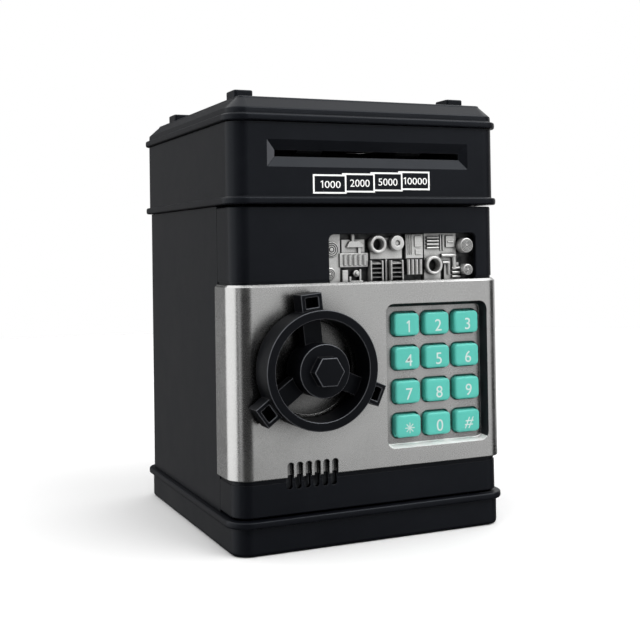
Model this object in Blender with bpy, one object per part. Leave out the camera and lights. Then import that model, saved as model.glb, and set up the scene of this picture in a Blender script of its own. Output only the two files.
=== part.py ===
"""Toy cash machine savings bank, as separate solids in one frame.

+Z is up, the front faces -Y, and the origin is the middle of the underside.
Sizes below are millimetres; to_mesh() turns them into Blender's metres.
"""

import math

import bmesh
import bpy
from mathutils import Vector

MM = 0.001
FULL_TURN = 2 * math.pi

# Casing: outline of the top housing walls, and steps measured from it
CASE_W = 127.0
CASE_D = 133.0
CASE_R = 8.0
CASE_STEPS = 5
WALL = 2.2
RIDGE_OUT = 1.8
MIDDLE_IN = -0.8
BASE_IN = -0.3

# Heights of the horizontal joints between the casing mouldings
BASE_RIDGE_Z = 11.8
BASE_TOP_Z = 14.7
BODY_TOP_Z = 142.8
TOP_Z = 143.1
TOP_RIDGE_Z = 146.1
LID_Z = 177.3
LID_RIDGE_Z = 180.2
LID_EDGE_Z = 182.7
LID_TOP_Z = 188.0
LID_SLOPE = 5.5
PAD_Z = 191.2
FIT = 0.3

# Door, its hinge axis, and the silver face plate that wraps round it
DOOR_LOW, DOOR_HIGH = 15.5, 142.3
DOOR_WALL = 2.0
DOOR_BACK_Y = -45.6
HINGE = (59.5, -49.2)
BARREL_R = 3.2
PLATE_LOW, PLATE_HIGH = 30.7, 110.2
PLATE_OUT = 1.6
PLATE_GAP = 0.3
PLATE_LEFT_Y, PLATE_RIGHT_Y = -46.2, -56.6
COVER_Y = (-47.4, -45.9)

# Keypad pan, sunk into the face plate
PAN_X, PAN_Z = 30.6, 69.3
PAN_W, PAN_H, PAN_R = 49.4, 60.8, 3.0
PAN_WALL = 1.3
PAN_FLOOR_Y = -62.8
KEY_X, KEY_Z = 31.2, 69.2
KEY_PITCH_X, KEY_PITCH_Z = 14.9, 14.6
KEY_W, KEY_H, KEY_R = 12.2, 9.7, 1.9
KEY_FRONT_Y = -66.0
KEY_FLANGE = (14.0, 11.6)
KEY_NAMES = ("1", "2", "3", "4", "5", "6", "7", "8", "9", "star", "0", "hash")

# Relief window over the face plate
WINDOW = (-20.0, 51.8, 109.0, 130.5)
RELIEF_Y = -61.3

# Sound slots: through the door at their lower ends, and blind in a block of the face plate above
SLOT_X, SLOT_PITCH, SLOT_COUNT = -39.4, 4.0, 6
SLOT_W, SLOT_LOW, SLOT_HIGH, SLOT_DEPTH = 2.7, 25.8, 37.0, 2.5
SOUND_BLOCK = (-42.0, -16.8, 31.6, 38.6)
SOUND_FLOOR = 0.4

# Handwheel, its spindle and the rack and pinion of the bolt
WHEEL = (-30.4, 75.5)
RIM_R, RIM_IN_R = 24.4, 20.6
WHEEL_BACK_Y, RIM_FRONT_Y, SPOKE_FRONT_Y = -69.3, -82.0, -75.0
HUB_R, HUB_FRONT_Y = 10.9, -83.4
HEX_R, HEX_FRONT_Y = 6.5, -87.8
LUG_W, LUG_OUT_R, LUG_FRONT_Y = 9.2, 31.0, -77.8
SPINDLE_R = 3.0
MODULE = 0.8
LATCH_TEETH = 14
BOLT_TRAVEL = MODULE * LATCH_TEETH / 2 * math.pi / 3
BOLT_Y = (-42.0, -38.0)
BOLT_X = (-52.0, 12.0)
BOLT_Z = (62.8, 68.8)
PLUNGER_X, PLUNGER_Y, PLUNGER_R = 0.0, -40.0, 1.8
LOCK_BOX = (-50.0, 15.5, 60.0, 97.0)
LOCK_BACK_Y = -34.5

# Note slot and feeder in the top housing
NOTE_Z = 164.2
NOTE_W, NOTE_H = 87.8, 2.8
NOTE_FRAME_W, NOTE_FRAME_H, NOTE_BEVEL = 95.4, 11.3, 1.6
FEED_TEETH, IDLER_TEETH, MOTOR_TEETH = 20, 28, 12
FEED_R, PINCH_R, SHAFT_R = 6.0, 5.0, 1.5
FEED_AXIS = (-52.0, NOTE_Z - 0.35 - FEED_R)
PINCH_AXIS = (-52.0, NOTE_Z + 0.35 + PINCH_R)
GEAR_X = (51.0, 54.5)
SPARE_CENTRE = 0.2
FRAME_X = (48.0, 50.0)

# Coin slot in the lid and its chute
COIN_Y, COIN_W, COIN_GAP = 4.5, 34.0, 4.6

# Batteries under the base
CELL_R, CELL_PITCH, CELL_Z = 7.25, 15.2, 9.75
CELL_Y = 28.0
BATTERY_BAY = (-29.5, 29.5, 4.5, 51.5)
BASE_SCREWS = [(x, y) for x in (-50.0, 50.0) for y in (-38.0, 52.0)]


# --- shapes: a shape is (points, faces) in millimetres ---

def merged(*shapes):
    """Several shapes that stay clear of each other, as one."""
    points, faces = [], []
    for more_points, more_faces in shapes:
        start = len(points)
        points += more_points
        faces += [[start + i for i in face] for face in more_faces]
    return points, faces


def placed(u, v, w, axis):
    """A point from its two outline coordinates and its place along an axis."""
    return {"X": (w, u, v), "Y": (u, w, v), "Z": (u, v, w)}[axis]


def loft(rings, capped=True):
    """Joins rings of equal length in order; closed into a loop when it isn't capped."""
    size = len(rings[0])
    points = [point for ring in rings for point in ring]
    pairs = list(zip(range(len(rings) - 1), range(1, len(rings))))
    if not capped:
        pairs.append((len(rings) - 1, 0))
    faces = []
    for low, high in pairs:
        for i in range(size):
            j = (i + 1) % size
            faces.append([low * size + i, low * size + j, high * size + j, high * size + i])
    if capped:
        last = (len(rings) - 1) * size
        faces.append(list(range(size))[::-1])
        faces.append([last + i for i in range(size)])
    return points, faces


def prism(outline, low, high, axis="Z"):
    """An outline of (u, v) points, extruded from low to high."""
    return loft([[placed(u, v, w, axis) for u, v in outline] for w in (low, high)])


def box(x0, x1, y0, y1, z0, z1):
    return prism([(x0, y0), (x1, y0), (x1, y1), (x0, y1)], z0, z1)


def circle(radius, centre=(0.0, 0.0), steps=32, turn=0.0):
    angles = [turn + FULL_TURN * i / steps for i in range(steps)]
    return [(centre[0] + radius * math.cos(a), centre[1] + radius * math.sin(a)) for a in angles]


def rod(radius, centre, low, high, axis="Z", steps=16, turn=0.0):
    return prism(circle(radius, centre, steps, turn), low, high, axis)


def turned(profile, centre, axis, steps=32):
    """A solid of revolution from (radius, place along the axis) pairs."""
    return loft([[placed(u, v, w, axis) for u, v in circle(r, centre, steps)] for r, w in profile])


def rounded(width, height, radius, centre=(0.0, 0.0), steps=5):
    """A rounded rectangle, anticlockwise."""
    outline = []
    corners = ((1, 1), (-1, 1), (-1, -1), (1, -1))
    for quarter, (side_u, side_v) in enumerate(corners):
        u = centre[0] + side_u * (width / 2 - radius)
        v = centre[1] + side_v * (height / 2 - radius)
        for step in range(steps + 1):
            angle = math.pi / 2 * (quarter + step / steps)
            outline.append((u + radius * math.cos(angle), v + radius * math.sin(angle)))
    return outline


def case_ring(z, out):
    """The casing's outline at one height, moved outwards by out."""
    radius = max(CASE_R + out, 1.0)
    outline = rounded(CASE_W + 2 * out, CASE_D + 2 * out, radius, steps=CASE_STEPS)
    return [(x, y, z) for x, y in outline]


def ridge_rings(low, high, out, soft=0.5):
    """A band with softened edges that stands out from the casing."""
    return [
        case_ring(low, out - soft),
        case_ring(low + soft, out),
        case_ring(high - soft, out),
        case_ring(high, out - soft),
    ]


def arc(centre, radius, start, end, steps):
    angles = [math.radians(start + (end - start) * i / steps) for i in range(steps + 1)]
    return [(centre[0] + radius * math.cos(a), centre[1] + radius * math.sin(a)) for a in angles]


def turned_about(outline, angle):
    """An outline turned about its own origin."""
    c, s = math.cos(angle), math.sin(angle)
    return [(c * u - s * v, s * u + c * v) for u, v in outline]


def moved(outline, centre):
    return [(centre[0] + u, centre[1] + v) for u, v in outline]


# --- gears ---

def gear_outline(teeth, phase, centre, addendum=0.8, dedendum=1.1, play=0.13):
    """Involute teeth at 20 degrees; a tooth points at the phase angle."""
    pitch_r = MODULE * teeth / 2
    base_r = pitch_r * math.cos(math.radians(20))
    root_r, tip_r = pitch_r - dedendum * MODULE, pitch_r + addendum * MODULE

    def unwound(radius):
        ratio = math.sqrt(max((radius / base_r) ** 2 - 1, 0.0))
        return ratio - math.atan(ratio)

    half = math.pi / (2 * teeth) - play / pitch_r + unwound(pitch_r)
    flank = [max(base_r, root_r), pitch_r, tip_r]
    outline = []
    for tooth in range(teeth):
        middle = phase + FULL_TURN * tooth / teeth
        for side, radii in ((-1, flank), (1, flank[::-1])):
            for radius in radii:
                angle = middle + side * (half - unwound(radius))
                reach = root_r if radius == flank[0] else radius
                outline.append((reach * math.cos(angle), reach * math.sin(angle)))
    return moved(outline, centre)


def meshing_phase(phase, teeth, line, other_teeth):
    """The phase of a gear that meshes with one of a known phase, along a line of centres."""
    offset = (line - phase) % (FULL_TURN / teeth)
    return line + math.pi + offset * teeth / other_teeth + math.pi / other_teeth


def centre_beyond(centre, teeth, other_teeth, rise):
    """Where the next gear of the train goes: its centre, and the angle of the line of centres."""
    distance = MODULE * (teeth + other_teeth) / 2 + SPARE_CENTRE
    run = math.sqrt(distance ** 2 - rise ** 2)
    return (centre[0] + run, centre[1] + rise), math.atan2(rise, run)


# --- objects ---

def material_of(name, colour, roughness, metallic):
    material = bpy.data.materials.new(name)
    material.use_nodes = True
    shader = material.node_tree.nodes["Principled BSDF"]
    shader.inputs["Base Color"].default_value = (*colour, 1.0)
    shader.inputs["Roughness"].default_value = roughness
    shader.inputs["Metallic"].default_value = metallic
    return material


FINISHES = {
    "case": ((0.018, 0.020, 0.024), 0.42, 0.0),
    "silver": ((0.46, 0.46, 0.45), 0.36, 0.85),
    "relief": ((0.40, 0.40, 0.39), 0.40, 0.8),
    "wheel": ((0.012, 0.013, 0.016), 0.45, 0.0),
    "key": ((0.070, 0.45, 0.38), 0.45, 0.0),
    "rubber": ((0.03, 0.03, 0.03), 0.85, 0.0),
    "inner": ((0.05, 0.05, 0.055), 0.6, 0.0),
    "white": ((0.72, 0.70, 0.64), 0.5, 0.0),
    "steel": ((0.55, 0.55, 0.56), 0.3, 1.0),
    "board": ((0.02, 0.16, 0.07), 0.5, 0.0),
    "cell": ((0.06, 0.10, 0.14), 0.35, 0.3),
}


def to_mesh(name, shape, origin):
    points, faces = shape
    mesh = bpy.data.meshes.new(name)
    shift = Vector(origin)
    mesh.from_pydata([(Vector(point) - shift) * MM for point in points], [], faces)
    work = bmesh.new()
    work.from_mesh(mesh)
    bmesh.ops.recalc_face_normals(work, faces=work.faces)
    work.to_mesh(mesh)
    work.free()
    return mesh


def add_object(name, shape, origin=(0.0, 0.0, 0.0), parent=None):
    obj = bpy.data.objects.new(name, to_mesh(name, shape, origin))
    obj.location = Vector(origin) * MM
    if parent:
        obj.parent = parent
        obj.location -= parent.location
    bpy.context.scene.collection.objects.link(obj)
    return obj


def add_boolean(obj, shape, operation, number):
    helper = add_object(f"{obj.name}_{operation.lower()}_{number}", shape)
    helper.hide_render = True
    helper.display_type = "WIRE"
    modifier = obj.modifiers.new(f"{operation.lower()} {number}", "BOOLEAN")
    modifier.operation = operation
    modifier.solver = "EXACT"
    modifier.object = helper


def add_part(name, finish, shape, joins=(), cuts=(), origin=(0.0, 0.0, 0.0), parent=None):
    """One node: a first shape, then shapes joined to it, then shapes cut out of it."""
    obj = add_object(name, shape, origin, parent)
    for number, join in enumerate(joins):
        add_boolean(obj, join, "UNION", number)
    for number, cut in enumerate(cuts):
        add_boolean(obj, cut, "DIFFERENCE", number)
    obj.data.materials.append(material_of(name, *FINISHES[finish]))
    obj.data.shade_smooth()
    obj.data.set_sharp_from_angle(angle=math.radians(35))
    return obj


def add_pivot(name, origin):
    pivot = bpy.data.objects.new(name, None)
    pivot.location = Vector(origin) * MM
    bpy.context.scene.collection.objects.link(pivot)
    return pivot


def add_screw(name, x, y, low, high, head_r=2.6, head=1.1, axis="Z"):
    """A slotted pan-head screw whose head is at the low end."""
    direction = 1 if high > low else -1
    profile = [(head_r - 0.4, low), (head_r, low + 0.4 * direction)]
    profile += [(head_r, low + head * direction), (1.2, low + (head + 0.1) * direction)]
    profile += [(1.2, high - direction), (0.5, high)]
    reach = sorted((low - 0.6 * direction, low + 0.6 * direction))
    drive = [(-0.4, -1.6), (0.4, -1.6), (0.4, 1.6), (-0.4, 1.6)]
    recess = prism(moved(drive, (x, y)), *reach, axis)
    add_part(name, "steel", turned(profile, (x, y), axis, 10), cuts=[recess])


# --- base ---

def make_base():
    rings = [case_ring(0.0, BASE_IN - 1.2), case_ring(1.2, BASE_IN), case_ring(BASE_RIDGE_Z, BASE_IN)]
    rings += ridge_rings(BASE_RIDGE_Z, BASE_TOP_Z, RIDGE_OUT)
    rings += [case_ring(BASE_TOP_Z, -WALL), case_ring(2.0, -WALL)]
    x0, x1, y0, y1 = BATTERY_BAY
    bay = box(x0 - 1.6, x1 + 1.6, y0 - 1.6, y1 + 1.6, 1.0, 19.2)
    boss = box(-7.0, 7.0, 52.0, 62.0, 1.0, 10.0)
    pin_boss = rod(3.6, HINGE, 1.0, BASE_TOP_Z - 0.4)
    posts = merged(*[rod(4.6, place, 1.0, 13.0, steps=12) for place in BASE_SCREWS])
    bay_cut = box(x0, x1, y0, y1, -1.0, 17.6)
    tab_cut = box(-5.3, 5.3, 51.0, 59.7, -1.2, 3.7)
    wells = merged(*[rod(3.2, place, -1.0, 9.0, steps=12) for place in BASE_SCREWS])
    holes = merged(*[rod(1.6, place, 8.0, 16.0, steps=8) for place in BASE_SCREWS])
    pin_hole = rod(SHAFT_R + FIT, HINGE, 9.0, 20.0)
    screw_hole = rod(1.5, (0.0, 55.5), 3.0, 9.2)
    cuts = [bay_cut, tab_cut, wells, holes, merged(pin_hole, screw_hole)]
    add_part("base_tray", "case", loft(rings), [bay, boss, pin_boss, posts], cuts)


def make_batteries():
    x0, x1, y0, y1 = BATTERY_BAY
    plate = box(x0 + FIT, x1 - FIT, y0 + FIT, y1 - FIT, FIT, 1.9)
    tab = box(-5.0, 5.0, 50.0, 59.4, FIT, 3.4)
    well = rod(3.0, (0.0, 55.5), -1.0, 1.9)
    hole = rod(1.5, (0.0, 55.5), 1.0, 5.0)
    grips = merged(*[box(-9.0, 9.0, 10.0 + 2.4 * i, 11.2 + 2.4 * i, -1.0, 0.8) for i in range(4)])
    add_part("battery_cover", "case", plate, [tab], [well, hole, grips])
    add_screw("battery_cover_screw", 0.0, 55.5, 0.6, 8.2)
    for number in range(3):
        way = 1 if number % 2 == 0 else -1
        centre = (CELL_Y + (number - 1) * CELL_PITCH, CELL_Z)
        profile = [(6.6, -24.9), (CELL_R, -24.3), (CELL_R, 23.4), (6.6, 24.0), (2.8, 24.0), (2.8, 25.0)]
        profile = [(r, way * x) for r, x in profile]
        add_part(f"battery_{number + 1}", "cell", turned(profile, centre, "X", 16))
    for side, name in ((-1, "left"), (1, "right")):
        inner, outer = sorted((side * 28.2, side * 29.0))
        plate = box(inner, outer, 7.0, 49.0, 4.2, 15.2)
        low, high = sorted((side * 25.6, side * 28.6))
        springs = [rod(2.6, (CELL_Y + k * CELL_PITCH, CELL_Z), low, high, "X", 8) for k in (-1, 0, 1)]
        add_part(f"battery_contact_{name}", "steel", plate, [merged(*springs)])


def make_base_screws():
    for number, (x, y) in enumerate(BASE_SCREWS):
        add_screw(f"base_screw_{number + 1}", x, y, 7.4, 18.6)


# --- body behind the door ---

def make_body():
    low = BASE_TOP_Z + FIT
    rings = [case_ring(low, MIDDLE_IN), case_ring(BODY_TOP_Z, MIDDLE_IN)]
    rings += [case_ring(BODY_TOP_Z, MIDDLE_IN - DOOR_WALL), case_ring(low, MIDDLE_IN - DOOR_WALL)]
    inside = rounded(CASE_W - 4.6, CASE_D - 4.6, CASE_R - 1.5, steps=CASE_STEPS)
    floor = prism(inside, 20.5, 22.5)
    ceiling = prism(inside, 138.5, 140.5)
    bosses = merged(*[rod(3.5, place, low, 21.0, steps=10) for place in BASE_SCREWS])
    post_places = [(x, y) for x in (-34.0, 34.0) for y in (26.0, 54.0)]
    board_posts = merged(*[rod(2.5, place, 140.0, 149.2, steps=8) for place in post_places])
    front = box(-80.0, 80.0, -80.0, DOOR_BACK_Y + 0.4, 0.0, 160.0)
    note_way = box(-44.0, 44.0, -43.6, -29.0, 136.0, 143.0)
    coin_way = box(-18.0, 18.0, 1.0, 8.0, 136.0, 143.0)
    screw_holes = merged(*[rod(1.6, place, 10.0, 19.5, steps=8) for place in BASE_SCREWS])
    cuts = [front, merged(note_way, coin_way), screw_holes]
    add_part("body_shell", "case", loft(rings, capped=False), [floor, ceiling, bosses, board_posts], cuts)
    wall = -CASE_W / 2 - MIDDLE_IN + DOOR_WALL + FIT
    outline = [(wall, -44.9), (-55.2, -44.9), (-55.2, -42.6), (wall + 1.2, -42.6), (wall + 1.2, -34.0)]
    outline += [(wall, -34.0)]
    add_part("strike_plate", "steel", prism(outline, 58.0, 74.0))


# --- top housing, lid and coin chute ---

def make_top():
    rings = ridge_rings(TOP_Z, TOP_RIDGE_Z, RIDGE_OUT)
    rings += [case_ring(TOP_RIDGE_Z, 0.0), case_ring(LID_Z - FIT, 0.0)]
    rings += [case_ring(LID_Z - FIT, -WALL), case_ring(TOP_Z, -WALL)]
    strip = box(-CASE_W / 2 + 1.2, CASE_W / 2 - 1.2, -52.0, DOOR_BACK_Y + 0.4, TOP_Z + 0.1, TOP_Z + 1.6)
    front_strip = box(-CASE_W / 2 + 9.0, CASE_W / 2 - 9.0, -CASE_D / 2 + 1.2, -51.0, TOP_Z + 0.2, TOP_Z + 1.5)
    pin_boss = rod(3.6, HINGE, TOP_Z + 0.4, 152.0)
    face = -CASE_D / 2
    grow = 0.5 / NOTE_BEVEL
    funnel_rings = []
    for y, share in ((face - 0.5, 1 + grow), (face + NOTE_BEVEL, 0.0)):
        width = NOTE_W + share * (NOTE_FRAME_W - NOTE_W)
        height = NOTE_H + share * (NOTE_FRAME_H - NOTE_H)
        corners = ((-1, -1), (1, -1), (1, 1), (-1, 1))
        funnel_rings.append([(u * width / 2, y, NOTE_Z + v * height / 2) for u, v in corners])
    slot = box(-NOTE_W / 2, NOTE_W / 2, face + 1.0, face + 6.0, NOTE_Z - NOTE_H / 2, NOTE_Z + NOTE_H / 2)
    pin_hole = rod(SHAFT_R + FIT, HINGE, TOP_Z - 2.0, 151.0)
    joins = [strip, front_strip, pin_boss]
    add_part("top_housing", "case", loft(rings, capped=False), joins, [loft(funnel_rings), slot, pin_hole])

    rings = [case_ring(LID_TOP_Z, -LID_SLOPE), case_ring(LID_EDGE_Z, -0.2), case_ring(LID_RIDGE_Z, 0.0)]
    rings += ridge_rings(LID_Z, LID_RIDGE_Z, RIDGE_OUT)[::-1]
    rings += [case_ring(LID_Z, -WALL), case_ring(LID_EDGE_Z, -WALL)]
    rings.append(case_ring(LID_TOP_Z - 2.0, -LID_SLOPE - 1.6))
    pads = []
    for x in (-53.6, 48.0):
        for y in (-50.5, 37.5):
            levels = ((LID_TOP_Z - 1.0, 0.0), (PAD_Z - 0.7, 0.0), (PAD_Z, 0.7))
            outlines = [(z, rounded(8.6 - 2 * c, 10.6 - 2 * c, 1.2, (x, y), 2)) for z, c in levels]
            pads.append(loft([[(u, v, z) for u, v in outline] for z, outline in outlines]))
    y0, y1 = COIN_Y - COIN_GAP / 2, COIN_Y + COIN_GAP / 2
    coin_slot = box(-COIN_W / 2, COIN_W / 2, y0, y1, LID_TOP_Z - 5.0, LID_TOP_Z + 5.0)
    add_part("top_lid", "case", loft(rings), [merged(*pads)], [coin_slot])
    chute = box(-19.5, 19.5, COIN_Y - 5.0, COIN_Y + 5.0, 140.8, LID_TOP_Z - 2.3)
    chute_bore = box(-18.0, 18.0, COIN_Y - 3.5, COIN_Y + 3.5, 139.0, LID_TOP_Z)
    add_part("coin_chute", "inner", chute, cuts=[chute_bore])


# --- note feeder ---

def make_feeder():
    idler_axis, line = centre_beyond(FEED_AXIS, FEED_TEETH, IDLER_TEETH, 3.0)
    motor_axis, motor_line = centre_beyond(idler_axis, IDLER_TEETH, MOTOR_TEETH, -1.0)
    idler_phase = meshing_phase(line, FEED_TEETH, line, IDLER_TEETH)
    motor_phase = meshing_phase(idler_phase, IDLER_TEETH, motor_line, MOTOR_TEETH)

    foot = [(-63.0, 147.0), (-44.5, 147.0), (-44.5, 140.8)]
    left_side = foot + [(-38.0, 140.8), (-38.0, 176.0), (-63.0, 176.0)]
    right_side = foot + [(-5.0, 140.8), (-5.0, 173.0), (-30.0, 176.0), (-63.0, 176.0)]
    deck = box(-49.0, 49.0, -62.0, -46.5, 147.2, 149.2)
    left_plate = prism(left_side, -FRAME_X[1], -FRAME_X[0], "X")
    axle = rod(SHAFT_R, idler_axis, 49.0, 56.5, "X")
    bores = merged(
        rod(SHAFT_R + FIT, FEED_AXIS, -55.0, 55.0, "X"),
        rod(SHAFT_R + FIT, PINCH_AXIS, -55.0, 55.0, "X"),
        rod(3.4, motor_axis, 45.0, 55.0, "X"),
    )
    add_part("feeder_frame", "inner", prism(right_side, *FRAME_X, "X"), [deck, left_plate, axle], [bores])

    origin = (0.0, *FEED_AXIS)
    add_part("feed_shaft", "steel", rod(SHAFT_R, FEED_AXIS, -52.0, 56.5, "X"), origin=origin)
    for side, name in ((-1, "left"), (1, "right")):
        low, high = sorted((side * 18.0, side * 30.0))
        profile = [(FEED_R - 0.6, low), (FEED_R, low + 0.6), (FEED_R, high - 0.6), (FEED_R - 0.6, high)]
        bore = rod(SHAFT_R + FIT, FEED_AXIS, low - 1.0, high + 1.0, "X")
        roller = turned(profile, FEED_AXIS, "X", 20)
        add_part(f"feed_roller_{name}", "rubber", roller, cuts=[bore], origin=origin)
    gears = (
        ("feed_gear", FEED_TEETH, line, FEED_AXIS),
        ("idler_gear", IDLER_TEETH, idler_phase, idler_axis),
    )
    for name, teeth, phase, axis in gears:
        wheel = prism(gear_outline(teeth, phase, axis), *GEAR_X, "X")
        bore = rod(SHAFT_R + FIT, axis, 45.0, 60.0, "X")
        add_part(name, "white", wheel, cuts=[bore], origin=(GEAR_X[0], *axis))

    rollers = []
    for low in (-30.0, 18.0):
        rollers.append(rod(PINCH_R, PINCH_AXIS, low, low + 12.0, "X", 20))
    shaft = rod(SHAFT_R, PINCH_AXIS, -52.0, 52.0, "X")
    add_part("pinch_shaft", "inner", shaft, [merged(*rollers)], origin=(0.0, *PINCH_AXIS))

    can = [(8.6, 22.0), (10.0, 23.0), (10.0, 45.4), (9.0, 46.4), (3.0, 46.4), (3.0, 47.8)]
    flat_lows = (motor_axis[1] + 7.8, motor_axis[1] - 15.8)
    flats = merged(*[box(20.0, 50.0, -40.0, 0.0, low, low + 8.0) for low in flat_lows])
    motor_bore = rod(1.4, motor_axis, 38.0, 60.0, "X")
    add_part("feed_motor", "steel", turned(can, motor_axis, "X", 20), cuts=[flats, motor_bore])
    pinion = prism(gear_outline(MOTOR_TEETH, motor_phase, motor_axis), GEAR_X[0], GEAR_X[1] + 0.5, "X")
    stub = rod(1.0, motor_axis, 39.0, 56.0, "X", 12)
    add_part("motor_pinion", "white", pinion, [stub], origin=(GEAR_X[0], *motor_axis))


def make_main_board():
    board = box(-40.0, 40.0, 20.0, 60.0, 149.5, 151.1)
    chips = merged(box(-12.0, 2.0, 32.0, 46.0, 151.0, 153.4), box(14.0, 24.0, 26.0, 31.0, 151.0, 153.0))
    cans = merged(rod(3.2, (-26.0, 40.0), 151.0, 161.0), rod(4.0, (28.0, 48.0), 151.0, 163.0))
    plug = box(-8.0, 12.0, 52.0, 57.5, 151.0, 157.0)
    add_part("main_pcb", "board", board, [chips, cans, plug])


# --- door ---

def wrap_outline(out, left_y, right_y, thickness):
    """The door's front and rounded sides, moved out by out, as a strip of the given thickness."""
    half = CASE_W / 2 + MIDDLE_IN
    radius = CASE_R - 0.5
    front = -CASE_D / 2 - MIDDLE_IN
    left = (-half + radius, front + radius)
    right = (half - radius, front + radius)
    outer_r, inner_r = radius + out, radius + out - thickness
    outline = [(-half - out, left_y)] + arc(left, outer_r, 180, 270, 6)
    outline += arc(right, outer_r, 270, 360, 6) + [(half + out, right_y)]
    back = [(half + out - thickness, right_y)] + arc(right, inner_r, 360, 270, 6)
    back += arc(left, inner_r, 270, 180, 6) + [(-half - out + thickness, left_y)]
    return outline + back


def make_door(pivot):
    half = CASE_W / 2 + MIDDLE_IN
    radius = CASE_R - 0.5
    front = -CASE_D / 2 - MIDDLE_IN
    left, right = (-half + radius, front + radius), (half - radius, front + radius)
    outline = [(-half, DOOR_BACK_Y)] + arc(left, radius, 180, 270, 6) + arc(right, radius, 270, 360, 6)
    outline += arc(HINGE, BARREL_R, 0, 90, 6) + [(56.0, DOOR_BACK_Y)]
    inner_r = radius - DOOR_WALL
    hollow = [(-half + DOOR_WALL, -40.0)] + arc(left, inner_r, 180, 270, 6)
    hollow += arc(right, inner_r, 270, 360, 6) + [(half - DOOR_WALL, -54.4), (55.8, -52.8), (55.8, -40.0)]
    x0, x1, z0, z1 = WINDOW
    window = rounded(x1 - x0, z1 - z0, 2.4, ((x0 + x1) / 2, (z0 + z1) / 2), 4)
    pan = rounded(PAN_W + 2 * PAN_WALL + 0.8, PAN_H + 2 * PAN_WALL + 0.8, PAN_R + 1.3, (PAN_X, PAN_Z), 4)
    centres = [SLOT_X + SLOT_PITCH * i for i in range(SLOT_COUNT)]
    middle, height = (SLOT_LOW + SLOT_HIGH) / 2, SLOT_HIGH - SLOT_LOW
    slots = [rounded(SLOT_W, height, SLOT_W / 2 - 0.05, (x, middle), 2) for x in centres]
    front_cuts = [prism(shape, front - 1.0, front + 4.0, "Y") for shape in (window, pan)]
    x0, x1, z0, z1 = SOUND_BLOCK
    gap = 0.4
    sound_window = box(x0 - gap, x1 + gap, front - 1.0, front + 4.0, z0 - gap, z1 + gap)
    slot_cuts = merged(*[prism(shape, front - 1.1, front + 4.1, "Y") for shape in slots])
    front_cuts.append(rod(SPINDLE_R + 0.5, WHEEL, front - 1.0, front + 4.0, "Y", 24))
    pins = merged(rod(SHAFT_R + FIT, HINGE, 10.0, 26.6), rod(SHAFT_R + FIT, HINGE, 131.0, 150.0))
    hollow_cut = prism(hollow, DOOR_LOW + DOOR_WALL, DOOR_HIGH - DOOR_WALL)
    origin = (*HINGE, DOOR_LOW)
    cuts = [hollow_cut, merged(*front_cuts), sound_window, slot_cuts, pins]
    add_part("door_panel", "case", prism(outline, DOOR_LOW, DOOR_HIGH), (), cuts, origin, pivot)

    thickness = PLATE_OUT - PLATE_GAP
    levels = ((PLATE_LOW, -0.6), (PLATE_LOW + 0.6, 0.0), (PLATE_HIGH - 1.0, 0.0), (PLATE_HIGH, -1.0))
    rings = []
    for z, cut_back in levels:
        strip = wrap_outline(PLATE_OUT + cut_back, PLATE_LEFT_Y, PLATE_RIGHT_Y, thickness + cut_back)
        rings.append([(x, y, z) for x, y in strip])
    face = front - PLATE_OUT
    block = prism(rounded(PAN_W + 2 * PAN_WALL, PAN_H + 2 * PAN_WALL, PAN_R + 1.0, (PAN_X, PAN_Z), 4),
                  face + 0.4, PAN_FLOOR_Y + PAN_WALL, "Y")
    draft = 0.35
    pocket_rings = []
    for y, grow in ((face - 0.5, draft), (PAN_FLOOR_Y, -draft)):
        shape = rounded(PAN_W + 2 * grow, PAN_H + 2 * grow, PAN_R, (PAN_X, PAN_Z), 4)
        pocket_rings.append([(u, y, v) for u, v in shape])
    openings = [rounded(KEY_W + 0.8, KEY_H + 0.8, KEY_R + 0.2, place, 2) for place in key_places()]
    through = [prism(shape, PAN_FLOOR_Y - 2.0, PAN_FLOOR_Y + 3.0, "Y") for shape in openings]
    low_slots = [rounded(SLOT_W, 2 * height, SLOT_W / 2 - 0.05, (x, SLOT_HIGH - height), 2) for x in centres]
    through += [prism(shape, face - 1.0, face + SLOT_DEPTH, "Y") for shape in low_slots]
    block_back = face + SLOT_DEPTH + SOUND_FLOOR
    sound_block = box(x0, x1, face + 0.5, block_back, z0, z1)
    through.append(rod(SPINDLE_R + 0.5, WHEEL, face - 1.5, face + 3.0, "Y", 24))
    dish = rod(19.6, WHEEL, face - 1.0, face + 0.5, "Y", 32)
    cuts = [dish, loft(pocket_rings), merged(*through)]
    add_part("face_plate", "silver", loft(rings), [block, sound_block], cuts, parent=pivot)


def key_places():
    """Centres of the twelve keys in (x, z), in the order of KEY_NAMES."""
    places = []
    for number in range(12):
        row, column = divmod(number, 3)
        places.append((KEY_X + (column - 1) * KEY_PITCH_X, KEY_Z + (1.5 - row) * KEY_PITCH_Z))
    return places


def make_keypad(pivot):
    for name, (x, z) in zip(KEY_NAMES, key_places()):
        levels = ((KEY_FRONT_Y, 0.8), (KEY_FRONT_Y + 0.6, 0.0), (-61.0, 0.0))
        rings = []
        for y, cut_back in levels:
            shape = rounded(KEY_W - 2 * cut_back, KEY_H - 2 * cut_back, KEY_R - 0.5 * cut_back, (x, z), 2)
            rings.append([(u, y, v) for u, v in shape])
        flange = prism(rounded(*KEY_FLANGE, 1.0, (x, z), 1), -61.2, -60.2, "Y")
        add_part(f"key_{name}", "key", loft(rings), [flange], origin=(x, KEY_FRONT_Y, z), parent=pivot)
    mat = prism(rounded(46.5, 58.0, 2.0, (PAN_X, PAN_Z), 3), -58.9, -57.8, "Y")
    add_part("keypad_mat", "rubber", mat, parent=pivot)
    board = prism(rounded(46.5, 60.0, 1.0, (PAN_X, PAN_Z), 2), -57.5, -55.9, "Y")
    chip = box(24.0, 36.0, -56.2, -54.2, 62.0, 74.0)
    add_part("keypad_pcb", "board", board, [chip], parent=pivot)


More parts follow.
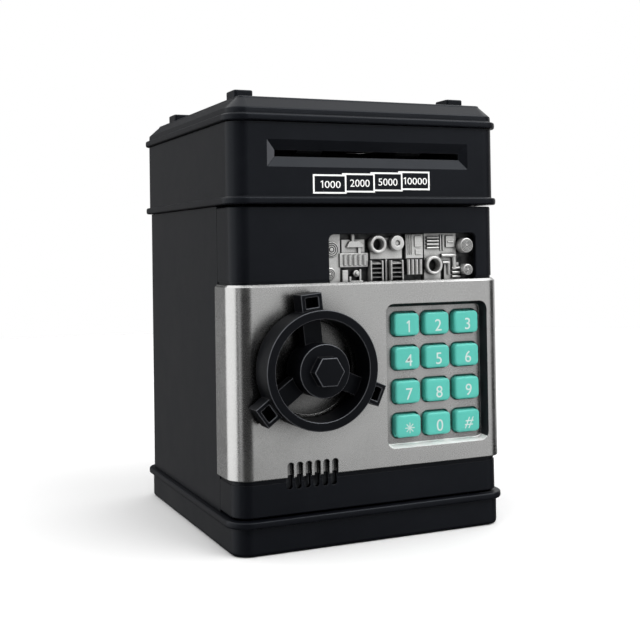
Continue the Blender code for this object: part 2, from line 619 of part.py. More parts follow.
def make_relief(pivot):
    """The panel of mock machinery behind the window: bosses, rings, louvres and ribs."""
    x0, x1, z0, z1 = WINDOW
    base = box(x0 - 2.5, x1 + 2.5, RELIEF_Y, RELIEF_Y + 2.0, z0 - 1.0, z1 + 2.5)
    back = RELIEF_Y + 0.6
    bosses = [
        ((3.9, 125.9), 3.9, 3.2), ((12.9, 126.4), 3.3, 3.6), ((31.2, 116.4), 4.2, 3.4),
        ((47.0, 125.0), 3.2, 3.6), ((47.6, 114.2), 2.4, 3.4), ((-17.0, 124.2), 2.6, 0.8),
        ((-17.6, 113.8), 2.2, 0.8),
    ]
    joins = [merged(*[rod(r, place, RELIEF_Y - rise, back, "Y", 14) for place, r, rise in bosses])]
    blocks = [
        (-8.4, -2.6, 117.0, 121.2, 1.6), (0.2, 6.2, 109.6, 119.0, 2.2), (9.8, 15.6, 109.6, 119.0, 2.2),
        (18.4, 26.0, 120.2, 129.4, 1.2), (17.8, 25.4, 113.2, 119.6, 1.8), (28.2, 40.6, 123.6, 129.0, 1.6),
        (-14.0, -8.8, 110.0, 115.6, 1.4), (37.2, 43.4, 110.4, 116.2, 1.2), (37.4, 42.6, 118.6, 121.0, 1.0),
    ]
    joins.append(merged(*[box(a, b, RELIEF_Y - rise, back, c, d) for a, b, c, d, rise in blocks]))
    wells = merged(*[rod(r, place, RELIEF_Y - 5.0, RELIEF_Y - 0.4, "Y", 14)
                     for place, r in (((3.9, 125.9), 2.5), ((31.2, 116.4), 2.7))])
    add_part("relief_panel", "relief", base, joins, [wells], parent=pivot)


def make_door_inside(pivot):
    y0, y1 = COVER_Y
    outline = rounded(115.7, 122.0, 2.0, (-2.45, 78.9), 3)
    screws = [(-54.0, 30.0), (50.0, 30.0), (-54.0, 128.0), (50.0, 128.0)]
    holes = [rod(1.6, place, y0 - 1.0, y1 + 1.0, "Y") for place in screws]
    holes.append(rod(SPINDLE_R + 0.5, WHEEL, y0 - 1.0, y1 + 1.0, "Y", 24))
    add_part("door_inner_cover", "inner", prism(outline, y0, y1, "Y"), cuts=[merged(*holes)], parent=pivot)
    for number, (x, z) in enumerate(screws):
        add_screw(f"door_screw_{number + 1}", x, z, y1 + 1.5, y1 - 7.0, axis="Y")
    profile = [(14.0, -63.1), (14.0, -61.4), (9.0, -59.6), (9.0, -55.2)]
    cone = turned([(11.5, -64.0), (4.0, -60.6)], (-29.4, 34.2), "Y", 20)
    add_part("speaker", "inner", turned(profile, (-29.4, 34.2), "Y", 20), cuts=[cone], parent=pivot)


# --- handwheel and lock ---

def make_wheel(pivot):
    rim_rings = [(RIM_R, WHEEL_BACK_Y), (RIM_R, RIM_FRONT_Y + 0.4), (RIM_R - 0.4, RIM_FRONT_Y)]
    rim = turned(rim_rings, WHEEL, "Y", 44)
    joins, pockets = [], []
    spread = [math.radians(96 + 120 * k) for k in range(3)]
    spoke = [(9.0, -4.0), (21.5, -4.0), (21.5, 4.0), (9.0, 4.0)]
    spokes = [moved(turned_about(spoke, angle), WHEEL) for angle in spread]
    half = LUG_W / 2
    for angle in spread:
        lug = [(RIM_R - 1.0, -half), (LUG_OUT_R, -half), (LUG_OUT_R, half), (RIM_R - 1.0, half)]
        joins.append(prism(moved(turned_about(lug, angle), WHEEL), WHEEL_BACK_Y, LUG_FRONT_Y, "Y"))
        pocket = [(RIM_R + 0.9, -2.8), (LUG_OUT_R - 1.5, -2.8), (LUG_OUT_R - 1.5, 2.8), (RIM_R + 0.9, 2.8)]
        pocket = moved(turned_about(pocket, angle), WHEEL)
        pockets.append(prism(pocket, LUG_FRONT_Y - 1.0, LUG_FRONT_Y + 6.8, "Y"))
    hub_rings = [(HUB_R, WHEEL_BACK_Y), (HUB_R, HUB_FRONT_Y + 0.4), (HUB_R - 0.4, HUB_FRONT_Y)]
    hub = turned(hub_rings, WHEEL, "Y", 28)
    hexagon = rod(HEX_R, WHEEL, HEX_FRONT_Y, HUB_FRONT_Y + 1.0, "Y", 6)
    bars = [prism(shape, WHEEL_BACK_Y + 0.2, SPOKE_FRONT_Y, "Y") for shape in spokes]
    well = rod(RIM_IN_R, WHEEL, WHEEL_BACK_Y + 5.0, RIM_FRONT_Y - 5.0, "Y", 40)
    bore = rod(SPINDLE_R + FIT, WHEEL, WHEEL_BACK_Y + 5.0, -78.0, "Y", 20)
    origin = (WHEEL[0], HUB_FRONT_Y, WHEEL[1])
    obj = add_object("handwheel", rim, origin, pivot)
    steps = [("DIFFERENCE", well), ("UNION", merged(*bars)), ("UNION", hub), ("UNION", hexagon)]
    steps += [("UNION", merged(*joins)), ("DIFFERENCE", merged(*pockets, bore))]
    for number, (operation, shape) in enumerate(steps):
        add_boolean(obj, shape, operation, number)
    obj.data.materials.append(material_of("handwheel", *FINISHES["wheel"]))
    obj.data.shade_smooth()
    obj.data.set_sharp_from_angle(angle=math.radians(35))
    spindle = rod(SPINDLE_R, WHEEL, -77.6, -36.4, "Y", 20)
    add_part("wheel_spindle", "inner", spindle, origin=origin, parent=pivot)
    outline = gear_outline(LATCH_TEETH, -math.pi / 2, WHEEL)
    gear = prism(outline, BOLT_Y[0] - 0.4, BOLT_Y[1] + 0.4, "Y")
    bore = rod(SPINDLE_R + FIT, WHEEL, -50.0, -30.0, "Y", 20)
    add_part("latch_pinion", "white", gear, cuts=[bore], origin=(WHEEL[0], BOLT_Y[0], WHEEL[1]), parent=pivot)


def make_lock(pivot):
    pitch = math.pi * MODULE
    line = WHEEL[1] - MODULE * LATCH_TEETH / 2 - SPARE_CENTRE
    top = line + 0.7 * MODULE
    slope = math.tan(math.radians(20))
    half_line = pitch / 4 - 0.15
    teeth = []
    for number in range(-3, 6):
        x = WHEEL[0] + (number + 0.5) * pitch
        root = half_line + slope * (line - BOLT_Z[1])
        tip = half_line - slope * (top - line)
        teeth += [(x - root, BOLT_Z[1]), (x - tip, top), (x + tip, top), (x + root, BOLT_Z[1])]
    notches = []
    for x in (PLUNGER_X, PLUNGER_X + BOLT_TRAVEL):
        notches += [(x - 2.2, BOLT_Z[1]), (x - 2.2, 65.6), (x + 2.2, 65.6), (x + 2.2, BOLT_Z[1])]
    outline = [(BOLT_X[0] + 1.0, BOLT_Z[1]), *teeth, *notches, (BOLT_X[1], BOLT_Z[1]), (BOLT_X[1], BOLT_Z[0])]
    outline += [(BOLT_X[0], BOLT_Z[0]), (BOLT_X[0], BOLT_Z[1] - 1.0)]
    origin = (0.0, BOLT_Y[0], BOLT_Z[0])
    add_part("latch_bolt", "white", prism(outline, *BOLT_Y, "Y"), origin=origin, parent=pivot)

    x0, x1, z0, z1 = LOCK_BOX
    outline = rounded(x1 - x0, z1 - z0, 2.5, ((x0 + x1) / 2, (z0 + z1) / 2), 3)
    outer = prism(outline, COVER_Y[1] + FIT, LOCK_BACK_Y, "Y")
    inner = box(x0 + 1.5, x1 - 1.5, -50.0, LOCK_BACK_Y - 1.5, z0 + 1.5, z1 - 1.5)
    mouth = box(x0 - 1.0, x0 + 2.0, BOLT_Y[0] - 0.5, BOLT_Y[1] + 0.5, BOLT_Z[0] - 0.5, BOLT_Z[1] + 0.5)
    add_part("lock_cover", "inner", outer, cuts=[inner, mouth], parent=pivot)
    coil = box(-8.0, 8.0, -45.4, -36.4, 73.0, 93.0)
    bore = rod(PLUNGER_R + FIT, (PLUNGER_X, PLUNGER_Y), 70.0, 86.0)
    add_part("lock_solenoid", "steel", coil, cuts=[bore], parent=pivot)
    plunger = turned([(1.2, 69.4), (PLUNGER_R, 70.0), (PLUNGER_R, 84.0)], (PLUNGER_X, PLUNGER_Y), "Z", 16)
    add_part("solenoid_plunger", "steel", plunger, origin=(PLUNGER_X, PLUNGER_Y, 69.4), parent=pivot)


def make_hinge_pins():
    spans = (("lower", 9.4, 26.2), ("upper", 131.4, 150.6))
    for name, low, high in spans:
        profile = [(SHAFT_R - 0.3, low), (SHAFT_R, low + 0.3), (SHAFT_R, high - 0.3), (SHAFT_R - 0.3, high)]
        add_part(f"hinge_pin_{name}", "steel", turned(profile, HINGE, "Z", 16))


def main():
    for obj in list(bpy.data.objects):
        bpy.data.objects.remove(obj, do_unlink=True)
    make_base()
    make_batteries()
    make_base_screws()
    make_body()
    make_top()
    make_feeder()
    make_main_board()
    make_hinge_pins()
    pivot = add_pivot("door_pivot", (*HINGE, DOOR_LOW))
    make_door(pivot)
    make_keypad(pivot)
    make_relief(pivot)
    make_door_inside(pivot)
    make_wheel(pivot)
    make_lock(pivot)


main()
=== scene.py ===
"""Looks of a toy cash machine savings bank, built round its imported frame.

Shapes are in millimetres in the frame's axes: +Z up, front facing -Y. solid() turns them into metres.
"""

import math

import bmesh
import bpy
from mathutils import Matrix, Vector


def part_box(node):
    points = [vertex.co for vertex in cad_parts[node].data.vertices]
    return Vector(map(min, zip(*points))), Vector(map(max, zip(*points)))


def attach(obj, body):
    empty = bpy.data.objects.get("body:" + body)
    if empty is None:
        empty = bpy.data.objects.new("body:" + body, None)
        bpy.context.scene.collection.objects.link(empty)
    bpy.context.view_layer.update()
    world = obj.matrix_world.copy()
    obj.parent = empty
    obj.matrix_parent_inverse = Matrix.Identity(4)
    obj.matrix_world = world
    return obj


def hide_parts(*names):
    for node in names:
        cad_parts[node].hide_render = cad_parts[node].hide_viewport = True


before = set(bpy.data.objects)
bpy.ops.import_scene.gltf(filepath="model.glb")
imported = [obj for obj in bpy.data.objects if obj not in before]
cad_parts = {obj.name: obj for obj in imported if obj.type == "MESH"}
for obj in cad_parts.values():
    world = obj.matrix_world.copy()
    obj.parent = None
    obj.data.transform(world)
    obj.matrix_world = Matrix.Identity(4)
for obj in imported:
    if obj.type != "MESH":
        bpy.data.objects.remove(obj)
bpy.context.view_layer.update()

MM = 0.001
FULL_TURN = 2 * math.pi


def limits(node):
    """((x0, x1), (y0, y1), (z0, z1)) of a CAD node, in millimetres."""
    low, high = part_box(node)
    return [(a / MM, b / MM) for a, b in zip(low, high)]


def middle(span):
    return (span[0] + span[1]) / 2


# Casing mouldings
RIDGE_OUT = 1.8
HOUSING = limits("top_housing")
CASE_W = HOUSING[0][1] - HOUSING[0][0] - 2 * RIDGE_OUT
CASE_D = HOUSING[1][1] - HOUSING[1][0] - 2 * RIDGE_OUT
CASE_R, CASE_STEPS = 8.0, 14
CASE_FRONT_Y = -CASE_D / 2
WALL, MIDDLE_IN, BASE_IN = 2.2, -0.8, -0.3
BASE_RIDGE_Z, BASE_TOP_Z = 11.8, 14.7
TOP_Z, HOUSING_TOP_Z = HOUSING[2]
TOP_RIDGE_Z = TOP_Z + 3.0
LID_Z, PAD_Z = limits("top_lid")[2]
LID_RIDGE_Z, LID_EDGE_Z, LID_TOP_Z, LID_SLOPE = LID_Z + 2.9, LID_Z + 5.4, PAD_Z - 3.2, 5.5
SCREW_PLACES = [(x, y) for x in (-50.0, 50.0) for y in (-38.0, 52.0)]
SCREW_HOLE_R = 1.6

# Door, hinge and face plate
DOOR = limits("door_panel")
HALF = DOOR[0][1]
DOOR_FRONT, DOOR_BACK = DOOR[1][0], -45.6
DOOR_LOW, DOOR_HIGH = DOOR[2]
DOOR_R, DOOR_WALL = CASE_R - 0.5, 2.0
LEFT_CORNER, RIGHT_CORNER = [(side * (HALF - DOOR_R), DOOR_FRONT + DOOR_R) for side in (-1, 1)]
HINGE = [middle(side) for side in limits("hinge_pin_lower")[:2]]
BARREL_R, PIN_R = 3.2, 1.8
PLATE = limits("face_plate")
PLATE_FRONT = PLATE[1][0]
PLATE_LOW, PLATE_HIGH = PLATE[2]
PLATE_OUT, PLATE_THICK = DOOR_FRONT - PLATE_FRONT, 1.3
PLATE_LEFT_Y, PLATE_RIGHT_Y = -46.2, -56.6
SEAT_LOW, SEAT_HIGH, SEAT_IN = PLATE_LOW - 1.9, PLATE_HIGH + 1.1, 0.4

# Keypad
KEY_NAMES = ("1", "2", "3", "4", "5", "6", "7", "8", "9", "star", "0", "hash")
KEY_W, KEY_H, KEY_R = 12.2, 9.7, 2.0
KEY_FRONT_Y = limits("key_1")[1][0]
PAN_X, PAN_Z, PAN_W, PAN_H, PAN_R = 30.6, 69.3, 49.4, 60.8, 3.2
PAN_FLOOR_Y, PAN_WALL = -62.8, 1.3
DIGIT_H, HASH_H, DIGIT_SHIFT = 5.1, 4.9, (0.5, -0.8)

# Sound slots
SLOT_XS = [-39.4 + 4.0 * k for k in range(6)]
SLOT_W, SLOT_LOW, SLOT_HIGH, SLOT_DEPTH = 2.7, 25.8, 37.0, 2.5
SLOT_TIP_R = SLOT_W / 2 - 0.05
SOUND_BLOCK = (-42.0, -16.8, 31.6, 38.6)

# Window and relief panel
WINDOW = (-20.0, 51.8, 109.0, 130.5)
RELIEF = limits("relief_panel")
RELIEF_Y = -61.3
DEEP_Y = RELIEF_Y + 1.2
RELIEF_FOOT_Y = DEEP_Y + 0.4

# Handwheel
WHEEL = [middle(limits("wheel_spindle")[axis]) for axis in (0, 2)]
WHEEL_BODY = limits("handwheel")
WHEEL_BACK_Y, HEX_FRONT_Y = WHEEL_BODY[1][1], WHEEL_BODY[1][0]
RIM_R, RIM_IN_R, RIM_FRONT_Y, SPOKE_FRONT_Y = 24.4, 20.7, WHEEL_BACK_Y - 12.7, WHEEL_BACK_Y - 5.7
HUB_R, HUB_FRONT_Y, HEX_R = 10.9, WHEEL_BACK_Y - 14.1, 6.5
LUG_W, LUG_OUT_R, LUG_FRONT_Y, LUG_DEPTH = 9.2, 31.0, WHEEL_BACK_Y - 8.5, 6.8
SPINDLE_HOLE_R = 3.5
ARM_ANGLES = [math.radians(96 + 120 * k) for k in range(3)]

# Note slot
NOTE_Z, NOTE_W, NOTE_H = 164.2, 87.8, 2.8
NOTE_FRAME_W, NOTE_FRAME_H, NOTE_BEVEL = 95.4, 11.3, 1.6
COIN_Y, COIN_W, COIN_GAP = middle(limits("coin_chute")[1]), 34.0, 4.6

# Print: the ink stands this far off a face and sinks this far into it
INK, INK_SUNK = 0.05, 0.02
# Half the thickness of a font character, the height and middle of a drawn 1, and the welding distance
FONT_INK, ONE_TOP, ONE_MIDDLE, WELD = 0.05, 0.73, 0.19, 2e-6

# Inside of the door, and the battery bay
COVER = limits("door_inner_cover")
BATTERY_BAY = (-29.5, 29.5, 4.5, 51.5)
COVER_SCREW = (0.0, 55.5)


# --- shapes: a shape is (points, faces) ---

def merged(*shapes):
    points, faces = [], []
    for more_points, more_faces in shapes:
        start = len(points)
        points += more_points
        faces += [[start + i for i in face] for face in more_faces]
    return points, faces


def placed(u, v, w, axis):
    """A point from its two outline coordinates and its place along an axis."""
    return {"X": (w, u, v), "Y": (u, w, v), "Z": (u, v, w)}[axis]


def loft(rings, capped=True):
    """Joins rings of equal length in order; closed into a loop when it isn't capped."""
    size = len(rings[0])
    points = [point for ring in rings for point in ring]
    pairs = list(zip(range(len(rings) - 1), range(1, len(rings))))
    if not capped:
        pairs.append((len(rings) - 1, 0))
    faces = []
    for low, high in pairs:
        for i in range(size):
            j = (i + 1) % size
            faces.append([low * size + i, low * size + j, high * size + j, high * size + i])
    if capped:
        last = (len(rings) - 1) * size
        faces.append(list(range(size))[::-1])
        faces.append([last + i for i in range(size)])
    return points, faces


def prism(outline, low, high, axis="Z"):
    return loft([[placed(u, v, w, axis) for u, v in outline] for w in (low, high)])


def box(x0, x1, y0, y1, z0, z1):
    return prism([(x0, y0), (x1, y0), (x1, y1), (x0, y1)], z0, z1)


def rectangle(u0, u1, v0, v1):
    return [(u0, v0), (u1, v0), (u1, v1), (u0, v1)]


def circle(radius, centre=(0.0, 0.0), steps=48, turn=0.0):
    angles = [turn + FULL_TURN * i / steps for i in range(steps)]
    return [(centre[0] + radius * math.cos(a), centre[1] + radius * math.sin(a)) for a in angles]


def rod(radius, centre, low, high, axis="Z", steps=32):
    return prism(circle(radius, centre, steps), low, high, axis)


def turned(profile, centre, axis="Y", steps=64, capped=True):
    """A solid of revolution from (radius, place along the axis) pairs."""
    rings = [[placed(u, v, w, axis) for u, v in circle(r, centre, steps)] for r, w in profile]
    return loft(rings, capped)


def arc(centre, radius, start, end, steps):
    angles = [math.radians(start + (end - start) * i / steps) for i in range(steps + 1)]
    return [(centre[0] + radius * math.cos(a), centre[1] + radius * math.sin(a)) for a in angles]


def rounded(width, height, radius, centre=(0.0, 0.0), steps=8):
    """A rounded rectangle, anticlockwise."""
    outline = []
    for quarter, (side_u, side_v) in enumerate(((1, 1), (-1, 1), (-1, -1), (1, -1))):
        corner = (centre[0] + side_u * (width / 2 - radius), centre[1] + side_v * (height / 2 - radius))
        outline += arc(corner, radius, 90 * quarter, 90 * quarter + 90, steps)
    return outline


def rounded_box(u0, u1, v0, v1, radius, steps=8):
    return rounded(u1 - u0, v1 - v0, radius, (middle((u0, u1)), middle((v0, v1))), steps)


def turned_about(outline, angle, centre=(0.0, 0.0)):
    """An outline turned about the origin and then moved to a centre."""
    c, s = math.cos(angle), math.sin(angle)
    return [(centre[0] + c * u - s * v, centre[1] + s * u + c * v) for u, v in outline]


def inset(outline, distance):
    """An anticlockwise outline with every side moved inwards."""
    size = len(outline)
    normals = []
    for i in range(size):
        (u0, v0), (u1, v1) = outline[i], outline[(i + 1) % size]
        length = math.hypot(u1 - u0, v1 - v0)
        normals.append(((v0 - v1) / length, (u1 - u0) / length))
    moved = []
    for i, (u, v) in enumerate(outline):
        (a, b), (c, d) = normals[i - 1], normals[i]
        scale = distance / (1 + a * c + b * d)
        moved.append((u + scale * (a + c), v + scale * (b + d)))
    return moved


def easing(at, way, radius, steps=4):
    """(place, inset) levels of a rounded edge that starts at a face; way is the direction inwards."""
    levels = []
    for i in range(steps + 1):
        a = math.pi / 2 * i / steps
        levels.append((at + way * radius * (1 - math.cos(a)), radius * (1 - math.sin(a))))
    return levels


def levelled(outline, levels, axis="Z"):
    """An outline extruded through (place, inset) levels."""
    return loft([[placed(u, v, w, axis) for u, v in inset(outline, cut)] for w, cut in levels])


def eased(outline, front, back, radius, axis="Y", steps=4, both=False):
    """An extrusion with a rounded edge round its front face, or round both faces."""
    way = 1 if back > front else -1
    levels = easing(front, way, radius, steps)
    levels += easing(back, -way, radius, steps)[::-1] if both else [(back, 0.0)]
    return levelled(outline, levels, axis)


def opening(outline, face, depth, flare, axis="Y", over=1.0):
    """A cutter that leaves a chamfer of width flare round the mouth of a hole."""
    levels = [(face - over, -flare - over), (face + flare, 0.0), (depth, 0.0)]
    return levelled(outline, levels, axis)


# --- objects ---

def linked(name, data):
    obj = bpy.data.objects.new(name, data)
    bpy.context.scene.collection.objects.link(obj)
    return obj


def to_object(name, shape, weld=0.0):
    points, faces = shape
    mesh = bpy.data.meshes.new(name)
    mesh.from_pydata([Vector(point) * MM for point in points], [], faces)
    work = bmesh.new()
    work.from_mesh(mesh)
    if weld:
        bmesh.ops.remove_doubles(work, verts=work.verts, dist=weld)
    bmesh.ops.recalc_face_normals(work, faces=work.faces)
    work.to_mesh(mesh)
    work.free()
    return linked(name, mesh)


def evaluated_mesh(obj):
    graph = bpy.context.evaluated_depsgraph_get()
    return bpy.data.meshes.new_from_object(obj.evaluated_get(graph), depsgraph=graph)


def apply_modifiers(obj):
    mesh = evaluated_mesh(obj)
    obj.modifiers.clear()
    obj.data = mesh


def shade(obj, angle=32):
    obj.data.shade_smooth()
    obj.data.set_sharp_from_angle(angle=math.radians(angle))
    modifier = obj.modifiers.new("even shading", "WEIGHTED_NORMAL")
    modifier.keep_sharp = True
    modifier.weight = 60
    apply_modifiers(obj)


def solid(name, node, shape, joins=(), cuts=(), slot="case_black", body="case", crease=32):
    """A piece in a CAD node's place: a shape, then shapes joined to it, then shapes cut out of it."""
    obj = to_object(name, shape)
    helpers = []
    for operation, shapes in (("UNION", joins), ("DIFFERENCE", cuts)):
        for number, other in enumerate(shapes):
            helper = to_object(f"{name}_{operation}_{number}", other)
            helpers.append(helper)
            modifier = obj.modifiers.new(f"{operation} {number}", "BOOLEAN")
            modifier.operation = operation
            modifier.solver = "EXACT"
            modifier.use_self = operation == "UNION"
            modifier.object = helper
    apply_modifiers(obj)
    for helper in helpers:
        bpy.data.objects.remove(helper, do_unlink=True)
    obj.data.materials.clear()
    obj.data.materials.append(MATERIALS[slot])
    shade(obj, crease)
    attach(obj, body)
    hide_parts(node)
    return obj


def refinish(obj, material, chosen):
    """Gives the faces that chosen(centre in millimetres, normal) picks their own material."""
    obj.data.materials.append(material)
    index = len(obj.data.materials) - 1
    for face in obj.data.polygons:
        if chosen(face.center / MM, face.normal):
            face.material_index = index


# --- materials ---

# Sizes of the noise patterns, in cycles per metre
FLOW_SCALE, HANDLING_SCALE, WAVE_SCALE, PAINT_SCALE, RUB_SCALE = 38.0, 210.0, 85.0, 55.0, 260.0
COOL_GLOSS = (0.84, 0.91, 1.0)


class Nodes:
    """A short way to write a material's node tree."""

    def __init__(self, name):
        self.material = bpy.data.materials.new(name)
        self.material.use_nodes = True
        self.tree = self.material.node_tree
        self.shader = self.tree.nodes["Principled BSDF"]
        self.place = self.add("ShaderNodeTexCoord").outputs["Object"]

    def add(self, kind, **settings):
        node = self.tree.nodes.new(kind)
        for key, value in settings.items():
            setattr(node, key, value)
        return node

    def link(self, source, target):
        """Links an output to a socket, or sets the socket when the source is a plain number or colour."""
        if isinstance(source, tuple):
            target.default_value = (*source, 1.0)
        elif isinstance(source, (int, float)):
            target.default_value = source
        else:
            self.tree.links.new(source, target)

    def give(self, **values):
        """Sets or links sockets of the shader; an underscore stands for a space."""
        for key, value in values.items():
            self.link(value, self.shader.inputs[key.replace("_", " ")])

    def noise(self, scale, detail=2.0, roughness=0.5, stretch=None):
        node = self.add("ShaderNodeTexNoise")
        for key, value in {"Scale": scale, "Detail": detail, "Roughness": roughness}.items():
            node.inputs[key].default_value = value
        place = self.place
        if stretch:
            mapping = self.add("ShaderNodeMapping")
            mapping.inputs["Scale"].default_value = stretch
            self.link(place, mapping.inputs["Vector"])
            place = mapping.outputs["Vector"]
        self.link(place, node.inputs["Vector"])
        return node.outputs["Fac"]

    def ranged(self, source, low, high, from_low=0.3, from_high=0.7):
        node = self.add("ShaderNodeMapRange")
        limit_values = {"From Min": from_low, "From Max": from_high, "To Min": low, "To Max": high}
        for key, value in limit_values.items():
            node.inputs[key].default_value = value
        self.link(source, node.inputs["Value"])
        return node.outputs["Result"]

    def maths(self, operation, a, b):
        node = self.add("ShaderNodeMath", operation=operation)
        for socket, value in zip(node.inputs, (a, b)):
            self.link(value, socket)
        return node.outputs[0]

    def mixed(self, share, dark, light):
        node = self.add("ShaderNodeMix", data_type="RGBA")
        for socket, value in zip([s for s in node.inputs if s.enabled], (share, dark, light)):
            self.link(value, socket)
        return [s for s in node.outputs if s.enabled][0]

    def bump(self, *layers):
        """Bumps from (height, depth in metres) layers, the coarse one first."""
        normal = None
        for height, depth in layers:
            node = self.add("ShaderNodeBump")
            node.inputs["Strength"].default_value = 1.0
            node.inputs["Distance"].default_value = depth
            self.link(height, node.inputs["Height"])
            if normal:
                self.link(normal, node.inputs["Normal"])
            normal = node.outputs["Normal"]
        self.link(normal, self.shader.inputs["Normal"])

    def edge_mask(self, radius=0.00035):
        """0 on flats, 1 along edges, found where a rounded normal leaves the true one."""
        rounded_normal = self.add("ShaderNodeBevel", samples=6)
        rounded_normal.inputs["Radius"].default_value = radius
        meet = self.add("ShaderNodeVectorMath", operation="DOT_PRODUCT")
        self.link(rounded_normal.outputs["Normal"], meet.inputs[0])
        self.link(self.add("ShaderNodeNewGeometry").outputs["Normal"], meet.inputs[1])
        return self.ranged(meet.outputs["Value"], 1.0, 0.0, 0.86, 0.985)

    def cavity(self, distance, low=0.35, high=0.8):
        """1 deep in hollows, 0 in the open; the mask for painted shade."""
        openness = self.add("ShaderNodeAmbientOcclusion", samples=8)
        openness.inputs["Distance"].default_value = distance
        return self.ranged(openness.outputs["AO"], 1.0, 0.0, low, high)


def moulded(name, colour, roughness, grain=2600.0, grain_depth=0.000012, edge_wear_and_sheen=0.35, spread=0.12,
            specular=0.5, edge=0.0004):
    """Injection-moulded plastic: satin grain, flow clouds, and edges polished and paled by handling, the
    paling partly a painted highlight.
    """
    n = Nodes(name)
    clouds = n.noise(FLOW_SCALE, 4.0, 0.6)
    fine = n.noise(grain, 3.0, 0.65)
    dark = tuple(c * (1 - spread) for c in colour)
    light = tuple(c * (1 + spread) + 0.0008 for c in colour)
    pale = tuple(min(1.0, c * 1.5 + 0.055) for c in colour)
    body = n.mixed(n.ranged(clouds, 0.0, 1.0), dark, light)
    patches = n.ranged(n.noise(HANDLING_SCALE, 3.0), 0.3 * edge_wear_and_sheen, edge_wear_and_sheen)
    wear_and_highlight = n.maths("MULTIPLY", n.edge_mask(edge), patches)
    uneven = n.maths("ADD", clouds, n.maths("MULTIPLY", fine, 0.6))
    rough = n.ranged(uneven, roughness - 0.05, roughness + 0.06, 0.5, 1.1)
    n.bump((n.noise(WAVE_SCALE, 2.0), grain_depth * 3), (fine, grain_depth))
    n.give(Base_Color=n.mixed(wear_and_highlight, body, pale), Specular_IOR_Level=specular, Specular_Tint=COOL_GLOSS,
           Roughness=n.maths("SUBTRACT", rough, n.maths("MULTIPLY", wear_and_highlight, 0.12)))
    return n.material


def metallic(name, colour, roughness, metal=1.0, grain=4200.0, depth=0.000010, speckle=0.16,
             stretch=None, shade_reach=0.0):
    """Silver paint or metal: a fine sparkle, soft clouds, edges brightened by wear and a painted highlight
    and, with a shade reach, painted shade in hollows and where nearby parts cover it.
    """
    n = Nodes(name)
    fine = n.noise(grain, 2.0, 0.7, stretch)
    clouds = n.noise(PAINT_SCALE, 4.0, 0.6)
    dark = tuple(c * (1 - speckle) for c in colour)
    light = tuple(min(1.0, c * (1 + speckle)) for c in colour)
    sparkle = n.maths("ADD", fine, n.maths("MULTIPLY", clouds, 0.35))
    body = n.mixed(n.ranged(sparkle, 0.0, 1.0, 0.42, 0.92), dark, light)
    pale = tuple(min(1.0, c * 1.45 + 0.05) for c in colour)
    wear_and_highlight = n.maths("MULTIPLY", n.edge_mask(), n.ranged(n.noise(RUB_SCALE, 3.0), 0.1, 0.5))
    colour_out = n.mixed(wear_and_highlight, body, pale)
    # Painted shade: ambient occlusion darkens hollows and what nearby parts cover, nearly to black
    if shade_reach:
        shade_colour = tuple(c * 0.06 for c in colour)
        colour_out = n.mixed(n.maths("MULTIPLY", n.cavity(shade_reach, 0.24, 0.80), 0.97), colour_out, shade_colour)
    rough = n.ranged(n.maths("ADD", fine, clouds), roughness - 0.06, roughness + 0.08, 0.7, 1.3)
    n.give(Base_Color=colour_out, Roughness=rough, Metallic=metal)
    n.bump((fine, depth))
    return n.material


def relief_with_painted_shade():
    """Grey metallic paint, darkened nearly to black by painted shade in the deep parts of the panel and its
    hollows.
    """
    n = Nodes("relief_paint")
    fine = n.noise(3600.0, 2.0, 0.7)
    split = n.add("ShaderNodeSeparateXYZ")
    n.link(n.place, split.inputs["Vector"])
    # Painted shade: the deep back plate and the hollows between the castings turn nearly black
    depth = n.ranged(split.outputs["Y"], 0.0, 1.0, (RELIEF_Y - 0.1) * MM, (DEEP_Y - 0.1) * MM)
    grey = n.mixed(n.ranged(fine, 0.0, 1.0), (0.50, 0.50, 0.49), (0.74, 0.74, 0.73))
    hollow = n.maths("MAXIMUM", depth, n.cavity(0.0036, 0.36, 0.84))
    painted_shade = n.maths("MULTIPLY", hollow, n.ranged(n.noise(420.0, 3.0), 0.9, 1.0))
    n.give(Base_Color=n.mixed(painted_shade, grey, (0.012, 0.013, 0.014)), Roughness=n.ranged(fine, 0.34, 0.50),
           Metallic=0.75)
    n.bump((fine, 0.000014))
    return n.material


def print_ink(name, colour):
    """Pad-printed ink: thin, slightly uneven cover."""
    n = Nodes(name)
    cover = n.noise(1900.0, 4.0, 0.7)
    dark = tuple(c * 0.84 for c in colour)
    n.give(Base_Color=n.mixed(n.ranged(cover, 0.0, 1.0), dark, colour), Roughness=n.ranged(cover, 0.42, 0.58))
    n.bump((cover, 0.000006))
    return n.material


def circuit_board():
    """Green solder mask over faint copper tracks."""
    n = Nodes("board_green")
    tracks = n.add("ShaderNodeTexBrick")
    values = {"Scale": 320.0, "Mortar Size": 0.06, "Color1": (0.012, 0.105, 0.045),
              "Color2": (0.016, 0.125, 0.055), "Mortar": (0.035, 0.20, 0.085), "Vector": n.place}
    for key, value in values.items():
        n.link(value, tracks.inputs[key])
    n.give(Base_Color=tracks.outputs["Color"], Roughness=n.ranged(n.noise(300.0), 0.28, 0.42))
    n.bump((tracks.outputs["Fac"], 0.00003))
    return n.material


